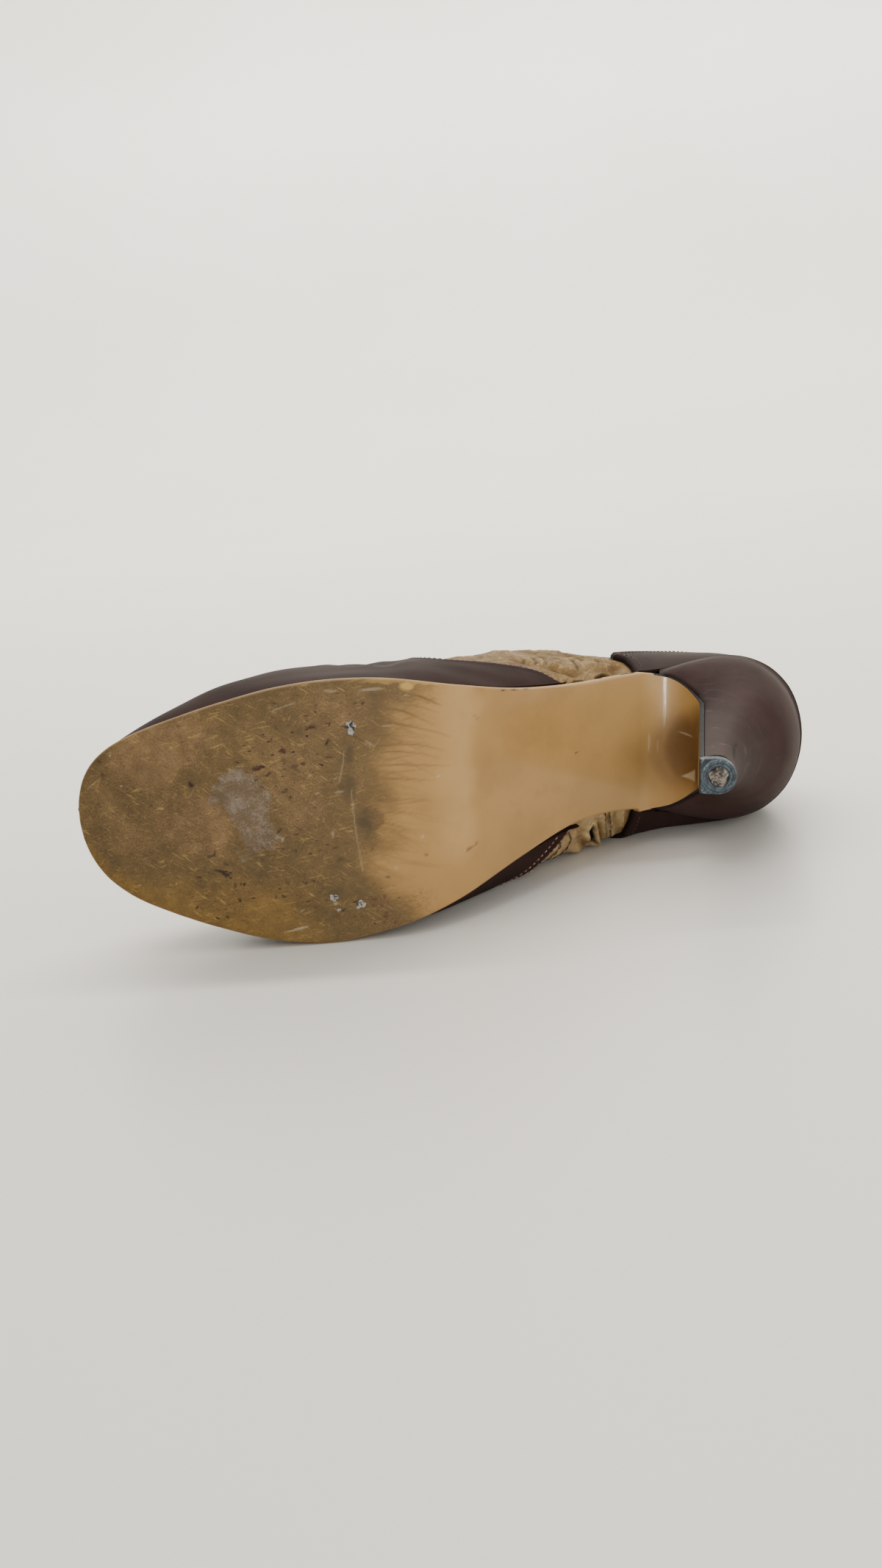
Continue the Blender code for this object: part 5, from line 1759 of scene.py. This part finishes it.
def stitch_row(places, ups, offset, length, space, radius):
    """Points and quads of a row of stitches along a path on the upper."""
    base, _, _, normal = upper_frame(places, ups)
    lift = held_off_floor(base, normal, np.full(len(base), offset + radius)) - radius
    points = base + normal * lift[:, None]
    run = np.concatenate([[0.0], np.cumsum(np.linalg.norm(np.diff(points, axis=0), axis=1))])
    starts = np.arange(0.5 * space, run[-1] - length, length + space)
    turn = np.linspace(0.0, 2.0 * math.pi, 6, endpoint=False)
    along = np.linspace(0.0, 1.0, len(STITCH_SHAPE))
    bulge, dip = np.array(STITCH_SHAPE).T
    at = starts[:, None] + along[None, :] * length
    middle = np.stack([np.interp(at, run, points[:, k]) for k in range(3)], axis=-1)
    up = np.stack([np.interp(at, run, normal[:, k]) for k in range(3)], axis=-1)
    up /= np.linalg.norm(up, axis=-1, keepdims=True)
    ahead = np.gradient(middle, axis=1)
    ahead /= np.linalg.norm(ahead, axis=-1, keepdims=True)
    out = np.cross(ahead, up)
    rings = middle[:, :, None, :] + up[:, :, None, :] * (dip * radius)[None, :, None, None]
    size = radius * bulge[None, :, None, None]
    cosine = np.cos(turn)[None, None, :, None]
    sine = np.sin(turn)[None, None, :, None]
    rings = rings + size * (cosine * out[:, :, None, :] + sine * up[:, :, None, :])
    return join_bodies([tube(ring, True) for ring in rings])


class SHOE_OT_stitches(bpy.types.Operator):
    """Make the stitch rows of the overlays, the tan leather and the collar"""

    bl_idname = "shoe.stitches"
    bl_label = "Stitches"

    def execute(self, context):
        sizes = context.scene.shoe_sizes
        size = (sizes.stitch_length / MM, sizes.stitch_space / MM, sizes.thread_radius / MM)
        top = OVERLAY_GAP + OVERLAY_THICK + 0.12
        vamp = vamp_edge(300)
        second = VAMP_STITCH_INSET + SECOND_ROW_SPREAD * smooth(-vamp[0], 0.0, 0.12)
        pale = []
        dark = []
        rows = (
            (vamp, VAMP_STITCH_INSET, 2.0, pale), (vamp, second, 0.0, pale),
            (counter_edge(220), COUNTER_STITCH_INSET, 2.0, dark),
        )
        for path, inset, last, row in rows:
            places, ups = moved_in(*path, inset)
            keep = (ups > STITCH_FOOT) & (places < last)
            row.append(stitch_row(places[keep], ups[keep], top, *size))
        points, quads = join_bodies(pale)
        finish = thread_finish("pale_thread", srgb(156, 126, 112), srgb(104, 76, 66))
        add_piece("vamp_stitches", points, quads, finish, [])
        for line in DARK_SEAMS:
            dark.append(stitch_row(*seam_path(line), 0.25, SEAM_STITCH_LENGTH, SEAM_STITCH_SPACE, size[2]))
        collar = np.linspace(0.0, 2.0, 400)
        dark.append(stitch_row(collar, np.full_like(collar, COLLAR_STITCH_UP), 0.3, *size))
        points, quads = join_bodies(dark)
        finish = thread_finish("dark_thread", srgb(74, 50, 36), srgb(40, 26, 18))
        add_piece("dark_stitches", points, quads, finish, [])
        return {"FINISHED"}


class SHOE_OT_insole(bpy.types.Operator):
    """Make the insole"""

    bl_idname = "shoe.insole"
    bl_label = "Insole"

    def execute(self, context):
        across = np.linspace(0.0, 1.0, 30)
        shares = np.linspace(0.03, 0.985, 150)
        inset = EDGE_INSET + 0.45 * WALL
        outer = outline(shares, inset)
        inner = outline(2.0 - shares, inset)
        station = inner[0][:, None] + (outer[0] - inner[0])[:, None] * across
        side = inner[1][:, None] + (outer[1] - inner[1])[:, None] * across
        near = np.minimum(np.abs(side - inner[1][:, None]), np.abs(side - outer[1][:, None]))
        waves = 0.12 * ripple(station, side, 30.0, 71) * smooth(near, 0.0, 6.0)
        top = on_last(station, side, INSOLE_THICK - round_edge(near, INSOLE_ROUND) + waves)
        foot = on_last(station, side, np.zeros_like(station))
        points, quads = shell(top, foot, False)
        worn = blots(station.ravel(), side.ravel(), INSOLE_WORN)
        marks = {"dirt": np.concatenate([worn, worn])}
        finish = lining_finish(context.scene.shoe_colours)
        add_piece("insole_leather", points, quads, finish, ["insole"], marks)
        return {"FINISHED"}


def area_light(name, at, aim, width, height, spread, power):
    """Soft light at a place, turned to a point."""
    light = bpy.data.lights.new(name, "AREA")
    light.shape = "RECTANGLE"
    light.size = width
    light.size_y = height
    light.energy = power
    light.spread = math.radians(spread)
    light.color = LIGHT_TINT
    lamp = bpy.data.objects.new(name, light)
    lamp.location = at
    lamp.rotation_euler = (Vector(aim) - Vector(at)).to_track_quat("-Z", "Y").to_euler()
    bpy.context.scene.collection.objects.link(lamp)


def add_floor(finish):
    """Pale floor that bends up into a backdrop."""
    sweep = [(-3.0, 0.0), (-1.0, 0.0), (0.6, 0.0)]
    for angle in np.linspace(0.0, 0.5 * math.pi, 18):
        sweep.append((BEND_FROM + BEND_RADIUS * math.sin(angle), BEND_RADIUS * (1.0 - math.cos(angle))))
    sweep.append((BEND_FROM + BEND_RADIUS, BACKDROP_TOP))
    points = [(x, y, z) for y, z in sweep for x in (-FLOOR_HALF, 0.0, FLOOR_HALF)]
    index = np.arange(len(points)).reshape(-1, 3)
    mesh = bpy.data.meshes.new("floor")
    mesh.from_pydata(points, [], sheet_quads(index)[:, ::-1].tolist())
    mesh.polygons.foreach_set("use_smooth", np.ones(len(mesh.polygons), bool))
    mesh.materials.append(finish)
    floor = bpy.data.objects.new("floor", mesh)
    bpy.context.scene.collection.objects.link(floor)


class SHOE_OT_stage(bpy.types.Operator):
    """Make the pale floor, the soft lights and the camera"""

    bl_idname = "shoe.stage"
    bl_label = "Stage"

    def execute(self, context):
        stage = context.scene.shoe_stage
        add_floor(floor_finish(context.scene.shoe_colours))
        powers = (stage.key_power, stage.fill_power, stage.front_power, stage.wall_power)
        for light, power in zip(LIGHTS, powers):
            area_light(*light, power)
        world = bpy.data.worlds.new("studio")
        world.use_nodes = True
        sky = world.node_tree.nodes["Background"]
        sky.inputs["Color"].default_value = SKY_TINT
        sky.inputs["Strength"].default_value = stage.sky_strength
        context.scene.world = world
        camera = bpy.data.cameras.new("camera")
        camera.sensor_width = 36.0
        camera.lens = stage.lens
        view = bpy.data.objects.new("camera", camera)
        aim = Vector(stage.camera_aim) - Vector(stage.camera_at)
        turned = aim.to_track_quat("-Z", "Y").to_matrix().to_4x4()
        rolled = turned @ Matrix.Rotation(-stage.camera_roll, 4, "Z")
        view.matrix_world = Matrix.Translation(Vector(stage.camera_at)) @ rolled
        context.scene.collection.objects.link(view)
        context.scene.camera = view
        return {"FINISHED"}


class SHOE_PT_panel(bpy.types.Panel):
    """Shows the shoe's sizes, colours, stage and pieces"""

    bl_label = "Worn heeled shoe"
    bl_space_type = "VIEW_3D"
    bl_region_type = "UI"
    bl_category = "Shoe"

    def draw(self, context):
        for group in (context.scene.shoe_sizes, context.scene.shoe_colours, context.scene.shoe_stage):
            for name in group.__annotations__:
                self.layout.prop(group, name)
        for operator in OPERATORS:
            self.layout.operator(operator.bl_idname)


GROUPS = (ShoeSizes, ShoeColours, ShoeStage)
OPERATORS = (
    SHOE_OT_outsole, SHOE_OT_sole_nails, SHOE_OT_heel, SHOE_OT_heel_tip, SHOE_OT_heel_pin, SHOE_OT_upper,
    SHOE_OT_lining, SHOE_OT_vamp, SHOE_OT_counter, SHOE_OT_stitches, SHOE_OT_insole, SHOE_OT_stage,
)
CLASSES = GROUPS + OPERATORS + (SHOE_PT_panel,)


def register():
    for item in CLASSES:
        bpy.utils.register_class(item)
    bpy.types.Scene.shoe_sizes = PointerProperty(type=ShoeSizes)
    bpy.types.Scene.shoe_colours = PointerProperty(type=ShoeColours)
    bpy.types.Scene.shoe_stage = PointerProperty(type=ShoeStage)


def unregister():
    del bpy.types.Scene.shoe_stage
    del bpy.types.Scene.shoe_colours
    del bpy.types.Scene.shoe_sizes
    for item in reversed(CLASSES):
        bpy.utils.unregister_class(item)


def main():
    register()
    for operator in OPERATORS:
        group, name = operator.bl_idname.split(".")
        getattr(getattr(bpy.ops, group), name)()


if __name__ == "__main__":
    main()
